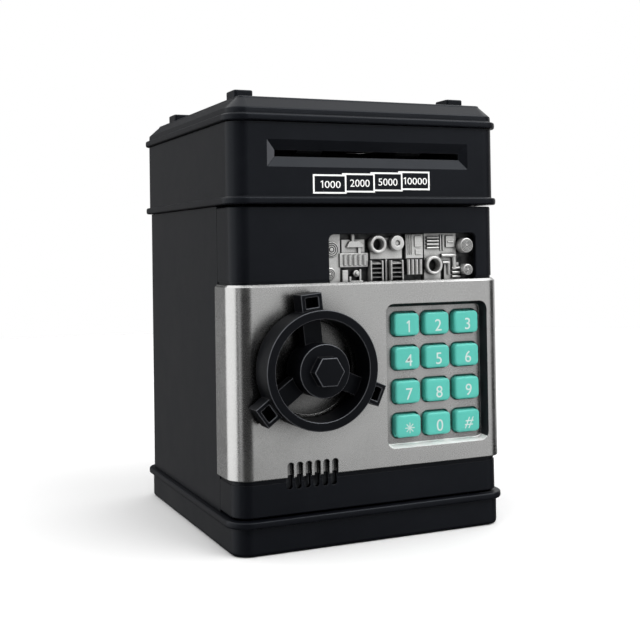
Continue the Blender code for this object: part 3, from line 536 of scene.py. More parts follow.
MATERIALS = {
    "case_black": moulded("case_black", (0.0030, 0.0034, 0.0050), 0.37, specular=0.15),
    # The wheel's edges pale strongly: wear, and painted highlight lines along its fillets
    "wheel_black": moulded("wheel_black", (0.0022, 0.0024, 0.0034), 0.40, 3000.0, edge_wear_and_sheen=0.55,
                           specular=0.10, edge=0.0008),
    # The plate's colour carries painted shade in the key pan and around and behind the wheel
    "plate_silver": metallic("plate_silver", (0.47, 0.47, 0.465), 0.25, shade_reach=0.019),
    "relief_metal": relief_with_painted_shade(),
    "key_teal": moulded("key_teal", (0.070, 0.420, 0.350), 0.42, 2200.0, edge_wear_and_sheen=0.25, spread=0.05),
    "rubber_black": moulded("rubber_black", (0.021, 0.021, 0.022), 0.80, 1500.0, 0.00003),
    "inner_black": moulded("inner_black", (0.024, 0.025, 0.027), 0.55, 1900.0, 0.00002),
    "gear_white": moulded("gear_white", (0.62, 0.60, 0.54), 0.45, edge_wear_and_sheen=0.1, spread=0.04),
    "steel": metallic("steel", (0.58, 0.58, 0.59), 0.30, 1.0, 900.0, 0.000006, 0.07, (1.0, 6.0, 1.0)),
    "motor_can": metallic("motor_can", (0.50, 0.50, 0.49), 0.34, 1.0, 700.0, 0.000006, 0.08,
                          (0.2, 3.0, 3.0)),
    "board_green": circuit_board(),
    "cell_wrap": metallic("cell_wrap", (0.10, 0.16, 0.22), 0.34, 0.4, 1500.0, 0.000004, 0.06),
}
# Painted light for single faces: painted highlights and painted shade, in the colours those faces show where
# the object reflects itself
HIGHLIGHT_BLACK = moulded("painted_highlight_black", (0.052, 0.053, 0.058), 0.32, edge_wear_and_sheen=0.5, spread=0.3)
SLOT_SHADE = moulded("slot_painted_shade", (0.0006, 0.0006, 0.0007), 0.80, edge_wear_and_sheen=0.0, specular=0.02)
PAN_SHADE = metallic("pan_shade", (0.020, 0.021, 0.024), 0.50, 0.6)
PAN_HIGHLIGHT = metallic("pan_painted_highlight", (0.80, 0.80, 0.79), 0.62, 0.5)
# Print inks
WHITE_INK = print_ink("print_white", (0.90, 0.90, 0.89))
KEY_INK = print_ink("print_pale", (0.50, 0.62, 0.59))


# --- casing ---

def case_outline(out):
    return rounded(CASE_W + 2 * out, CASE_D + 2 * out, CASE_R + out, steps=CASE_STEPS)


def stacked(outline_at, levels, capped=True):
    """A loft through (z, out) levels, each with the outline that outline_at(out) gives."""
    return loft([[(x, y, z) for x, y in outline_at(out)] for z, out in levels], capped)


def ridge_levels(low, high, out=RIDGE_OUT, soft=0.75):
    """(z, out) levels of a band with well rounded edges and a slightly crowned face."""
    crown = 0.06
    lower = [(z, out - crown - cut) for z, cut in easing(low, 1, soft, 8)]
    upper = [(z, out - crown - cut) for z, cut in easing(high, -1, soft, 8)]
    return lower + [(middle((low, high)), out)] + upper[::-1]


def at_screws(radius, low, high):
    return merged(*[rod(radius, place, low, high) for place in SCREW_PLACES])


def make_base():
    floor_z, bay_wall, bay_roof_z, cell_roof_z = 1.0, 1.6, 19.2, 17.6
    screw_y = COVER_SCREW[1]
    levels = [(z, BASE_IN - cut) for z, cut in easing(0.0, 1, 1.8, 6)]
    levels += [(BASE_RIDGE_Z - 0.3, BASE_IN), (BASE_RIDGE_Z, BASE_IN + 0.3)]
    levels += ridge_levels(BASE_RIDGE_Z, BASE_TOP_Z)
    levels += [(BASE_TOP_Z, -WALL), (2.0, -WALL)]
    x0, x1, y0, y1 = BATTERY_BAY
    bay = box(x0 - bay_wall, x1 + bay_wall, y0 - bay_wall, y1 + bay_wall, floor_z, bay_roof_z)
    boss = box(-7.0, 7.0, 52.0, 62.0, floor_z, 10.0)
    pin_boss = rod(3.6, HINGE, floor_z, BASE_TOP_Z - 0.4)
    posts = at_screws(4.6, floor_z, 13.0)
    reach, half_rib = CASE_W / 2 - 1.0, 0.6
    ribs = merged(*[box(-reach, reach, y - half_rib, y + half_rib, floor_z, 6.5)
                    for y in (-52.0, -24.0, -10.0)])
    bay_cut = opening(rectangle(x0, x1, y0, y1), 0.0, cell_roof_z, 0.25, "Z")
    tab_cut = box(-5.3, 5.3, 51.0, 59.7, -1.2, 3.7)
    wells = merged(*[opening(circle(3.2, place), 0.0, 9.0, 0.35, "Z") for place in SCREW_PLACES])
    holes = at_screws(SCREW_HOLE_R, 8.0, 16.0)
    shallow = eased(rounded(108.0, 34.0, 6.0, (0.0, -38.0), 6), 0.8, -1.5, 0.4, "Z")
    pin_hole = rod(PIN_R, HINGE, 9.0, 20.0)
    screw_hole = rod(1.5, (0.0, screw_y), 3.0, 9.2)
    solid("base_tray_moulding", "base_tray", stacked(case_outline, levels),
          [bay, boss, pin_boss, posts, ribs],
          [shallow, bay_cut, tab_cut, wells, holes, merged(pin_hole, screw_hole)])


def make_battery_cover():
    x0, x1, y0, y1 = BATTERY_BAY
    gap, inner_z = 0.3, 1.9
    outline = rounded_box(x0 + gap, x1 - gap, y0 + gap, y1 - gap, 1.0, 4)
    tab = box(-5.0, 5.0, 50.0, 59.4, gap, 3.4)
    well = opening(circle(3.0, COVER_SCREW), gap, inner_z, 0.25, "Z")
    hole = rod(1.5, COVER_SCREW, 1.0, 5.0)
    grips = [opening(rounded(18.0, 1.2, 0.5, (0.0, 10.6 + 2.4 * i), 4), gap, 0.9, 0.15, "Z")
             for i in range(5)]
    solid("battery_cover_moulding", "battery_cover", eased(outline, gap, inner_z, 0.3, "Z"), [tab],
          [well, hole, merged(*grips)])


def make_body():
    low, high = BASE_TOP_Z + 0.3, TOP_Z - 0.3
    wall_out = MIDDLE_IN - DOOR_WALL
    levels = [(low, MIDDLE_IN), (high, MIDDLE_IN), (high, wall_out), (low, wall_out)]
    inside = rounded(CASE_W - 4.6, CASE_D - 4.6, CASE_R - 1.5, steps=CASE_STEPS)
    floor, ceiling = prism(inside, 20.5, 22.5), prism(inside, 138.5, 140.5)
    bosses = at_screws(3.5, low, 21.0)
    half_rib, rib_low, rib_high = 0.6, 21.5, 139.5
    ribs = []
    for side in (-1, 1):
        x0, x1 = sorted((side * 59.2, side * 61.2))
        for y in (-18.0, 8.0, 34.0):
            ribs.append(box(x0, x1, y - half_rib, y + half_rib, rib_low, rib_high))
    for x in (-36.0, -12.0, 12.0, 36.0):
        ribs.append(box(x - half_rib, x + half_rib, 62.2, 64.2, rib_low, rib_high))
    posts = merged(*[rod(2.5, (x, y), 140.0, 149.2) for x in (-34.0, 34.0) for y in (26.0, 54.0)])
    front = box(-80.0, 80.0, -80.0, DOOR_BACK + 0.4, 0.0, 160.0)
    ways = [opening(rectangle(*sides), 138.5, 143.0, 0.4, "Z")
            for sides in ((-44.0, 44.0, -43.6, -29.0), (-18.0, 18.0, 1.0, 8.0))]
    screw_holes = at_screws(SCREW_HOLE_R, 10.0, 19.5)
    solid("body_moulding", "body_shell", stacked(case_outline, levels, capped=False),
          [floor, ceiling, bosses, posts, merged(*ribs)], [front, merged(*ways), screw_holes])


def make_top_housing():
    top, face = HOUSING_TOP_Z, CASE_FRONT_Y
    levels = ridge_levels(TOP_Z, TOP_RIDGE_Z) + [(TOP_RIDGE_Z, 0.35), (TOP_RIDGE_Z + 0.35, 0.0)]
    levels += [(top, 0.0), (top, -WALL), (TOP_Z, -WALL)]
    strip = box(-CASE_W / 2 + 1.2, CASE_W / 2 - 1.2, -52.0, DOOR_BACK + 0.4, TOP_Z + 0.1, TOP_Z + 1.6)
    front_strip = box(-CASE_W / 2 + 9.0, CASE_W / 2 - 9.0, face + 1.2, -51.0, TOP_Z + 0.2, TOP_Z + 1.5)
    pin_boss = rod(3.6, HINGE, TOP_Z + 0.4, 152.0)
    frame_outline = rounded(NOTE_FRAME_W, NOTE_FRAME_H, 0.35, (0.0, NOTE_Z), 3)
    slot_outline = rounded(NOTE_W, NOTE_H, 0.2, (0.0, NOTE_Z), 3)
    over = 0.5
    funnel = [[(a + share * (c - a), y, b + share * (d - b))
               for (a, b), (c, d) in zip(slot_outline, frame_outline)]
              for y, share in ((face - over, 1 + over / NOTE_BEVEL), (face + NOTE_BEVEL, 0.0))]
    slot = prism(slot_outline, face + 1.0, face + 6.0, "Y")
    pin_hole = rod(PIN_R, HINGE, TOP_Z - 2.0, 151.0)
    housing = solid("top_housing_moulding", "top_housing", stacked(case_outline, levels, capped=False),
                    [strip, front_strip, pin_boss], [loft(funnel), slot, pin_hole], crease=14)

    def left_bevel(centre, normal):
        """The note slot's left bevel."""
        leans = normal.y < -0.2 and 0.3 < normal.x < 0.97 and abs(normal.z) < 0.3
        return leans and centre.x < -NOTE_W / 2 and abs(centre.z - NOTE_Z) < NOTE_FRAME_H

    # Painted highlight: the note slot's left bevel gets a paler black, as if lit
    refinish(housing, HIGHLIGHT_BLACK, left_bevel)


def make_lid():
    levels = [(z, -LID_SLOPE + 0.35 - cut) for z, cut in easing(LID_TOP_Z, -1, 0.7, 4)]
    levels += [(LID_EDGE_Z + 0.45, -0.62), (LID_EDGE_Z + 0.12, -0.25), (LID_EDGE_Z - 0.3, -0.1)]
    levels += [(LID_RIDGE_Z + 0.35, 0.0), (LID_RIDGE_Z, 0.35)]
    levels += ridge_levels(LID_Z, LID_RIDGE_Z)[::-1]
    levels += [(LID_Z, -WALL), (LID_EDGE_Z, -WALL), (LID_TOP_Z - 2.0, -LID_SLOPE - 1.6)]
    pads = [eased(rounded(8.6, 10.6, 1.4, (x, y), 6), PAD_Z, LID_TOP_Z - 1.0, 0.6, "Z", 5)
            for x in (-53.6, 48.0) for y in (-50.5, 37.5)]
    over = LID_TOP_Z + 1.0
    coin_levels = [(over, -2.2), (LID_TOP_Z - 1.0, 0.0), (LID_TOP_Z - 5.0, 0.0)]
    coin_slot = levelled(rounded(COIN_W, COIN_GAP, 0.8, (0.0, COIN_Y), 6), coin_levels, "Z")
    frame_outline, bottom = rounded(84.0, 92.0, 6.0), LID_TOP_Z - 0.3
    groove = stacked(lambda cut: inset(frame_outline, cut),
                     ((over, -1.3), (bottom, 0.0), (bottom, 0.7), (over, 2.0)), capped=False)
    solid("top_lid_moulding", "top_lid", stacked(case_outline, levels), [merged(*pads)], [coin_slot, groove])


# --- door ---

def plate_outline(out, steps=14):
    """The face plate's section round the door's front and sides, with its outer face moved by out."""
    outer, inner, ease = PLATE_OUT + out, PLATE_OUT - PLATE_THICK, 0.3
    outer_r, inner_r, reach, inner_reach = DOOR_R + outer, DOOR_R + inner, HALF + outer, HALF + inner
    outline = [(-reach + ease, PLATE_LEFT_Y), (-reach, PLATE_LEFT_Y - ease)]
    outline += arc(LEFT_CORNER, outer_r, 180, 270, steps) + arc(RIGHT_CORNER, outer_r, 270, 360, steps)
    outline += [(reach, PLATE_RIGHT_Y - ease), (reach - ease, PLATE_RIGHT_Y), (inner_reach, PLATE_RIGHT_Y)]
    outline += arc(RIGHT_CORNER, inner_r, 360, 270, steps) + arc(LEFT_CORNER, inner_r, 270, 180, steps)
    return outline + [(-inner_reach, PLATE_LEFT_Y)]


def door_outline(out, steps=14):
    """The door's section, with its front and sides moved out by out."""
    outline = [(-HALF - out, DOOR_BACK)] + arc(LEFT_CORNER, DOOR_R + out, 180, 270, steps)
    outline += arc(RIGHT_CORNER, DOOR_R + out, 270, 360, steps)
    return outline + arc(HINGE, BARREL_R + min(out, 0.0), 0, 90, 10) + [(56.0, DOOR_BACK)]


def make_door():
    levels = [(z, -cut) for z, cut in easing(DOOR_LOW, 1, 0.6)]
    levels += [(SEAT_LOW - 0.3, 0.0), (SEAT_LOW - 0.05, -0.08), (SEAT_LOW, -SEAT_IN)]
    levels += [(SEAT_HIGH, -SEAT_IN), (SEAT_HIGH + 0.05, -0.08), (SEAT_HIGH + 0.3, 0.0)]
    levels += [(z, -cut) for z, cut in easing(DOOR_HIGH, -1, 0.6)][::-1]
    inner_r, behind = DOOR_R - DOOR_WALL, -40.0
    hollow = [(-HALF + DOOR_WALL, behind)] + arc(LEFT_CORNER, inner_r, 180, 270, 10)
    hollow += arc(RIGHT_CORNER, inner_r, 270, 360, 10)
    hollow += [(HALF - DOOR_WALL, -54.4), (55.8, -52.8), (55.8, behind)]
    pan = rounded(PAN_W + 2 * PAN_WALL + 0.8, PAN_H + 2 * PAN_WALL + 0.8, PAN_R + 1.3, (PAN_X, PAN_Z))
    bx0, bx1, bz0, bz1 = SOUND_BLOCK
    gap = 0.4
    sound_window = rectangle(bx0 - gap, bx1 + gap, bz0 - gap, bz1 + gap)
    slot_z = middle((SLOT_LOW, SLOT_HIGH))
    slots = [rounded(SLOT_W, SLOT_HIGH - SLOT_LOW, SLOT_TIP_R, (x, slot_z), 6) for x in SLOT_XS]
    before, back = DOOR_FRONT - 1.0, DOOR_FRONT + 4.0
    cuts = [
        prism(hollow, DOOR_LOW + DOOR_WALL, DOOR_HIGH - DOOR_WALL),
        opening(rounded_box(*WINDOW, 2.6), DOOR_FRONT, back, 0.35),
        prism(pan, before, back, "Y"),
        prism(sound_window, before, back, "Y"),
        merged(*[opening(shape, DOOR_FRONT, back, 0.2, over=0.5) for shape in slots]),
        rod(SPINDLE_HOLE_R, WHEEL, before, back, "Y"),
        merged(rod(PIN_R, HINGE, 10.0, 26.6), rod(PIN_R, HINGE, 131.0, 150.0)),
    ]
    door = solid("door_moulding", "door_panel", stacked(door_outline, levels), cuts=cuts, body="door")

    def slot_wall(centre, normal):
        """The inside walls of the sound slots, below the face plate."""
        in_slot = any(abs(centre.x - x) < SLOT_W / 2 + 0.3 for x in SLOT_XS)
        below = SLOT_LOW - 0.4 < centre.z < SEAT_LOW - 0.2
        return in_slot and below and centre.y > DOOR_FRONT + 0.3 and abs(normal.y) < 0.9

    # Painted shade: the sound slots' inside walls below the plate are painted nearly black
    refinish(door, SLOT_SHADE, slot_wall)


def pan_wall(centre, normal):
    """Whether a face belongs to the key pan's walls, and not to its floor or to the plate's front."""
    across, up = abs(centre.x - PAN_X) - PAN_W / 2, abs(centre.z - PAN_Z) - PAN_H / 2
    sunk = PLATE_FRONT + 0.2 < centre.y < PAN_FLOOR_Y + 0.1
    return sunk and max(across, up) < 0.8 and max(across, up) > -1.2 and normal.y >= -0.9


def make_face_plate():
    levels = [(z, -cut) for z, cut in easing(PLATE_LOW, 1, 0.5)]
    levels += [(PLATE_HIGH - 1.25, 0.0), (PLATE_HIGH - 1.05, -0.04), (PLATE_HIGH - 0.12, -0.95)]
    levels.append((PLATE_HIGH, -1.15))
    face = PLATE_FRONT
    block = prism(rounded(PAN_W + 2 * PAN_WALL, PAN_H + 2 * PAN_WALL, PAN_R + 1.0, (PAN_X, PAN_Z)),
                  face + 0.4, PAN_FLOOR_Y + PAN_WALL, "Y")
    bx0, bx1, bz0, bz1 = SOUND_BLOCK
    sound_block = box(bx0, bx1, face + 0.5, face + SLOT_DEPTH + 0.4, bz0, bz1)
    draft, foot = 0.35, 0.7
    pan_levels = [(face - 0.6, -draft - 1.0), (face, -draft - 0.45), (face + 0.12, -draft - 0.14)]
    pan_levels.append((face + 0.45, -draft))
    pan_levels += [(y, draft + cut) for y, cut in easing(PAN_FLOOR_Y, -1, foot)][::-1]
    dish_levels = [(20.8, face - 0.7), (20.1, face), (19.6, face + 0.4), (19.3, face + 0.5)]
    key_holes = []
    for x, z in KEY_PLACES:
        outline = rounded(KEY_W + 0.8, KEY_H + 1.1, KEY_R + 0.3, (x, z + 0.15), 6)
        key_holes.append(opening(outline, PAN_FLOOR_Y, PAN_FLOOR_Y + 3.0, 0.22, over=0.5))
    height = SLOT_HIGH - SLOT_LOW
    mouth = [(face - 0.5, -0.68), (face + 0.18, 0.0)]
    mouth += [(y, cut) for y, cut in easing(face + SLOT_DEPTH, -1, 0.4)][::-1]
    slots = [levelled(rounded(SLOT_W, 2 * height, SLOT_TIP_R, (x, SLOT_HIGH - height), 8), mouth, "Y")
             for x in SLOT_XS]
    cuts = [
        turned(dish_levels, WHEEL, steps=96),
        levelled(rounded(PAN_W, PAN_H, PAN_R, (PAN_X, PAN_Z)), pan_levels, "Y"),
        merged(*key_holes),
        merged(*slots),
        rod(SPINDLE_HOLE_R, WHEEL, face - 1.5, face + 3.0, "Y"),
    ]
    skin = solid("face_plate_skin", "face_plate", stacked(plate_outline, levels), [block, sound_block], cuts,
                 "plate_silver", "door")
    # Painted shade on the pan's right and top walls, and a painted highlight on its bottom wall
    refinish(skin, PAN_SHADE, lambda centre, normal: pan_wall(centre, normal) and normal.z <= 0.5
             and min(normal.x, normal.z) < -0.3)
    refinish(skin, PAN_HIGHLIGHT, lambda centre, normal: pan_wall(centre, normal) and normal.z > 0.5)


def key_place(name):
    sides = limits(f"key_{name}")
    return middle(sides[0]), middle(sides[2])


KEY_PLACES = [key_place(name) for name in KEY_NAMES]


def make_keys():
    for name, (x, z) in zip(KEY_NAMES, KEY_PLACES):
        levels = [(KEY_FRONT_Y + 0.02, 1.75)]
        levels += [(y + 0.08, cut) for y, cut in easing(KEY_FRONT_Y, 1, 0.95, 6)]
        levels += [(-61.0, -0.05), (-60.9, -0.9), (-60.2, -0.9)]
        key, cap = f"key_{name}", levelled(rounded(KEY_W, KEY_H, KEY_R, (x, z), 6), levels, "Y")
        solid(f"key_cap_{name}", key, cap, slot="key_teal", body=key)


# --- relief panel ---

def ring_boss(centre, radius, bore, rise):
    """A short tube with rounded lips."""
    front, foot = RELIEF_Y - rise, RELIEF_FOOT_Y
    profile = [(radius, foot), (radius, front + 0.45), (radius - 0.15, front + 0.13), (radius - 0.45, front)]
    profile += [(bore + 0.4, front), (bore + 0.12, front + 0.12), (bore, front + 0.4)]
    profile += [(bore, DEEP_Y), (bore, foot)]
    return turned(profile, centre, steps=32, capped=False)


def post(centre, radius, rise, rings=3):
    """A round post whose front face carries concentric steps."""
    front, step, lip = RELIEF_Y - rise, 0.42, 0.10
    profile = [(radius, RELIEF_FOOT_Y), (radius, front + 0.5), (radius - 0.15, front + 0.15)]
    profile.append((radius - 0.42, front))
    width = (radius - 0.6) / (rings + 0.5)
    for k in range(rings):
        outer = radius - 0.6 - k * width
        inner = outer - step * width
        profile += [(outer, front), (outer - lip, front + step), (inner, front + step), (inner - lip, front)]
    profile.append((0.05, front - 0.12))
    return turned(profile, centre, steps=32)


def stud(centre, radius, rise, ease, fall, steps=24):
    """A plain round stud with a bevelled front edge."""
    profile = [(radius, RELIEF_FOOT_Y), (radius, RELIEF_Y - rise), (radius - ease, RELIEF_Y - rise - fall)]
    return turned(profile, centre, steps=steps)


def casting(outline, rise, radius, steps=2):
    return levelled(outline, easing(RELIEF_Y - rise, 1, radius, steps) + [(RELIEF_FOOT_Y, 0.0)], "Y")


def slab(u0, u1, v0, v1, rise):
    return casting(rounded_box(u0, u1, v0, v1, 0.25, 2), rise, 0.22)


def rail(u0, u1, v0, v1, rise, upright):
    """A half-round bar lying on the panel, upright or level."""
    width = (u1 - u0) if upright else (v1 - v0)
    section = arc((0.0, 0.0), width / 2, 0, 180, 6)
    points = [(a, RELIEF_Y - rise + width / 2 - b) for a, b in section]
    points += [(-width / 2, RELIEF_FOOT_Y), (width / 2, RELIEF_FOOT_Y)]
    if upright:
        return prism([(middle((u0, u1)) + a, y) for a, y in points], v0, v1, "Z")
    return prism([(y, middle((v0, v1)) + a) for a, y in points], u0, u1, "X")


def rails(count, pitch, u0, u1, v0, v1, rise, upright):
    """Equal rails side by side."""
    du, dv = (pitch, 0.0) if upright else (0.0, pitch)
    return [rail(u0 + du * k, u1 + du * k, v0 + dv * k, v1 + dv * k, rise, upright) for k in range(count)]


def louvre(u0, u1, v0, v1, rise, bars=5):
    """A framed block of sloping bars."""
    shapes = [slab(u0, u0 + 0.7, v0, v1, rise + 0.3), slab(u1 - 0.7, u1, v0, v1, rise + 0.3)]
    pitch, front = (v1 - v0) / bars, RELIEF_Y - rise
    for k in range(bars):
        z = v0 + k * pitch
        section = [(RELIEF_FOOT_Y, z + 0.3), (front, z + 0.25), (front - 0.1, z + 0.5)]
        section += [(RELIEF_Y - 0.2, z + pitch - 0.45), (RELIEF_FOOT_Y, z + pitch - 0.4)]
        shapes.append(prism(section, u0 + 0.3, u1 - 0.3, "X"))
    return shapes


def make_relief():
    """Mock machinery of bosses, tubes, louvres, rails and pipes on a back plate with deep gaps."""
    (x0, x1), (_, back), (z0, z1) = RELIEF
    left_tube, small_tube, low_tube = (3.9, 125.9), (12.9, 126.4), (31.2, 116.4)
    left_bore, low_bore, stud_place = 2.5, 2.8, (-6.0, 113.6)
    slabs = [
        (x0 + 0.3, -13.0, z0 + 0.3, z1 - 0.3, 0.0), (-12.4, -1.4, 121.0, 128.2, 0.1),
        (-13.6, -0.2, 116.4, 122.4, 0.9), (1.0, 16.6, 119.6, 128.8, 0.35), (18.0, 26.6, 119.6, 130.2, 1.2),
        (27.6, 44.0, 116.6, 130.6, 0.2), (27.2, 35.6, 109.2, 115.0, 0.8), (37.6, 45.2, 109.4, 117.4, 0.3),
        (8.4, 9.4, 109.2, 119.4, 0.2), (22.2, 25.8, 124.6, 129.4, 1.7), (22.6, 25.4, 121.2, 123.6, 1.6),
        (35.4, 36.1, 122.8, 129.8, 0.9), (36.7, 37.4, 122.8, 129.8, 0.9), (38.4, 42.8, 124.2, 129.4, 1.0),
        (39.2, 42.0, 126.2, 127.0, 1.5), (-12.6, -10.0, 109.6, 115.2, 1.3), (-9.2, -8.2, 109.6, 112.4, 0.8),
        (-8.6, -2.6, 109.6, 110.6, 0.9), (-4.4, -3.4, 110.2, 115.4, 0.7), (-5.0, -3.6, 120.0, 125.4, 1.0),
        (-8.0, -6.6, 127.0, 130.4, 1.0),
    ]
    rows = [
        (5, 2.35, -12.2, -10.5, 117.2, 121.6, 1.75, True), (4, 2.0, 18.4, 20.0, 112.6, 119.2, 2.0, True),
        (3, 1.0, 18.6, 19.2, 121.4, 129.8, 1.6, True), (4, 1.5, 28.6, 34.6, 123.6, 124.6, 1.5, False),
        (1, 0.0, 35.8, 43.0, 119.8, 121.4, 1.9, False), (1, 0.0, 41.4, 43.0, 114.4, 121.0, 1.9, True),
        (1, 0.0, 36.4, 40.0, 116.9, 118.1, 1.5, False), (1, 0.0, 39.0, 40.2, 112.2, 118.0, 1.5, True),
        (3, 1.9, 41.2, 45.2, 110.4, 111.8, 1.6, False),
    ]
    bracket = [(-10.6, 124.8), (-2.6, 124.8), (-2.6, 126.0), (-4.6, 127.4), (-9.0, 127.4)]
    shapes = [slab(*row) for row in slabs]
    shapes += [post((-17.2, 124.0), 3.6, 0.5), post((-18.0, 113.6), 2.8, 0.5)]
    shapes += [post((47.0, 125.0), 3.3, 4.6, 4), post((47.6, 114.2), 2.5, 4.4)]
    shapes += [ring_boss(left_tube, 3.9, left_bore, 3.2), ring_boss(small_tube, 3.3, 1.1, 3.6)]
    shapes += [ring_boss(low_tube, 4.1, low_bore, 3.4), stud(small_tube, 1.3, 2.6, 0.4, 0.3)]
    shapes += [stud(stud_place, 1.5, 1.2, 0.4, 0.4), stud(stud_place, 0.8, 2.4, 0.3, 0.3, 20)]
    shapes += louvre(0.2, 6.4, 109.4, 119.0, 2.2) + louvre(10.0, 16.2, 109.4, 119.0, 2.2)
    for row in rows:
        shapes += rails(*row)
    shapes.append(casting(bracket, 1.5, 0.2))
    cuts = merged(*[rod(bore, place, RELIEF_Y - 6.0, DEEP_Y + 0.3, "Y")
                    for place, bore in ((left_tube, left_bore), (low_tube, low_bore))])
    base = box(x0, x1, DEEP_Y, back, z0, z1)
    solid("relief_castings", "relief_panel", base, [merged(*shapes)], [cuts], "relief_metal", "door")


# --- handwheel ---

def make_wheel():
    back, ease = WHEEL_BACK_Y, 0.45
    outer = [(RIM_R - cut, y) for y, cut in easing(RIM_FRONT_Y, 1, ease)]
    inner = [(RIM_IN_R + cut, y) for y, cut in easing(RIM_FRONT_Y, 1, ease)]
    rim = turned([(RIM_R, back)] + outer[::-1] + inner + [(RIM_IN_R - 0.25, back)], WHEEL, steps=96,
                 capped=False)
    spoke = rectangle(9.0, 21.8, -4.0, 4.0)
    lug = rectangle(RIM_R - 1.2, LUG_OUT_R, -LUG_W / 2, LUG_W / 2)
    pocket = rounded(4.2, 5.6, 0.3, (27.4, 0.0), 3)
    spokes, lugs, pockets = [], [], []
    for angle in ARM_ANGLES:
        spokes.append(eased(turned_about(spoke, angle, WHEEL), SPOKE_FRONT_Y, back - 0.2, 0.4))
        lugs.append(eased(turned_about(lug, angle, WHEEL), LUG_FRONT_Y, back, 0.4))
        pockets.append(opening(turned_about(pocket, angle, WHEEL), LUG_FRONT_Y, LUG_FRONT_Y + LUG_DEPTH, 0.3,
                               over=0.4))
    hub = turned([(HUB_R - cut, y) for y, cut in easing(HUB_FRONT_Y, 1, 0.5)] + [(HUB_R + 0.15, back)],
                 WHEEL, steps=72)
    hexagon = levelled(circle(HEX_R, WHEEL, 6),
                       easing(HEX_FRONT_Y, 1, 0.35, 3) + [(HUB_FRONT_Y + 1.0, -0.12)], "Y")
    bore = rod(3.3, WHEEL, back + 5.0, -78.0, "Y")
    wheel = solid("handwheel_moulding", "handwheel", rim, [merged(*spokes), hub, hexagon, merged(*lugs)],
                  [merged(*pockets), bore], "wheel_black", "handwheel")
    # Painted highlight: the wheel's rounded edge faces get a paler black
    refinish(wheel, HIGHLIGHT_BLACK, lambda centre, normal: 0.2 < -normal.y < 0.97)


# --- print ---

def printed(name, shape, body, ink):
    """Ink on a face: a thin shape that rides on a body."""
    obj = to_object(name, shape, WELD)
    obj.data.materials.append(ink)
    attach(obj, body)


def ink_block(outline, face):
    """A printed outline on a face that looks towards -Y."""
    return prism(outline, face - INK, face + INK_SUNK, "Y")


def numeral_one(bold):
    """A 1 with a flag, for a unit-high line of digits; its points run anticlockwise."""
    stem, edge, top, flag_x, flag_top = 0.088 + 2 * bold, 0.30, ONE_TOP, 0.08, 0.62
    return [(edge - stem, 0.0), (edge, 0.0), (edge, top), (edge - 0.8 * stem, top), (flag_x, flag_top),
            (flag_x, flag_top - stem), (edge - stem, top - 1.45 * stem)]


def font_shape(text, bold, shear):
    """Characters of the built-in font in its own units, of thickness 2 * FONT_INK."""
    curve = bpy.data.curves.new("characters", "FONT")
    curve.body, curve.size, curve.shear, curve.offset = text, 1.0, shear, bold
    curve.resolution_u, curve.extrude = 5, FONT_INK
    source = linked("characters", curve)
    mesh = evaluated_mesh(source)
    shape = [tuple(v.co) for v in mesh.vertices], [list(face.vertices) for face in mesh.polygons]
    bpy.data.objects.remove(source, do_unlink=True)
    bpy.data.meshes.remove(mesh)
    return shape


def text_shape(text, centre, size, face, bold=0.0, shear=0.0, width=None):
    """Digits of the given height, and width if there is one, centred on a face that looks towards -Y."""
    if text == "1":
        unit = size / ONE_TOP
        outline = [(centre[0] + (u - ONE_MIDDLE) * unit, centre[1] + (v - ONE_TOP / 2) * unit)
                   for u, v in numeral_one(0.004)]
        return ink_block(outline, face)
    points, faces = font_shape(text.lstrip("1"), bold, shear)
    if text.startswith("1"):
        one = [[(u - 0.42, v, w) for u, v in numeral_one(bold)] for w in (-FONT_INK, FONT_INK)]
        points, faces = merged((points, faces), loft(one))
    xs, ys = [x for x, _, _ in points], [y for _, y, _ in points]
    tall = size / (max(ys) - min(ys))
    wide = width / (max(xs) - min(xs)) if width else tall
    deep = (INK + INK_SUNK) / (2 * FONT_INK)
    middle_x, middle_y = middle((min(xs), max(xs))), middle((min(ys), max(ys)))
    return [(centre[0] + (x - middle_x) * wide, face + INK_SUNK - (z + FONT_INK) * deep,
             centre[1] + (y - middle_y) * tall) for x, y, z in points], faces


def make_number_boxes():
    """Four overlapping boxes, each a little higher than the one before, with a number in each."""
    face = CASE_FRONT_Y
    width, height, line, step, rise = 15.4, 8.1, 0.72, 13.4, 0.6
    for k, text in enumerate(("1000", "2000", "5000", "10000")):
        left, low = -27.4 + step * k, 147.5 + rise * k
        right, high = left + width, low + height
        if k == 0:
            inner = rectangle(left + line, right - line, low + line, high - line)
            outer = rectangle(left, right, low, high)
            back, front = face + INK_SUNK, face - INK
            frame_shape = loft([[(u, y, v) for u, v in outline] for outline, y in
                                ((outer, back), (outer, front), (inner, front), (inner, back))], capped=False)
            shown_left, shift = left + line, 0.4
        else:
            shown_left, shift = right - step, 0.0
            outline = [(left, high), (left, high - rise), (shown_left, high - rise)]
            outline.append((shown_left, high - line))
            outline += [(right - line, high - line), (right - line, low + line), (shown_left, low + line)]
            outline += [(shown_left, low), (right, low), (right, high)]
            frame_shape = ink_block(outline, face)
        centre = (middle((shown_left, right - line)) + shift, middle((low, high)) - 0.1)
        number = text_shape(text, centre, 3.1, face, 0.001, width=2.3 * len(text))
        printed(f"print_frame_{k + 1}", frame_shape, "case", WHITE_INK)
        printed(f"print_number_{k + 1}", number, "case", WHITE_INK)


def star_outline(centre, reach, half, arms=8):
    """A star of narrow square-ended arms."""
    outline = []
    notch = half / math.tan(math.pi / arms)
    for arm in range(arms):
        angle = FULL_TURN * arm / arms + math.pi / 2
        outline += turned_about([(notch, -half), (reach, -half), (reach, half)], angle, centre)
    return outline


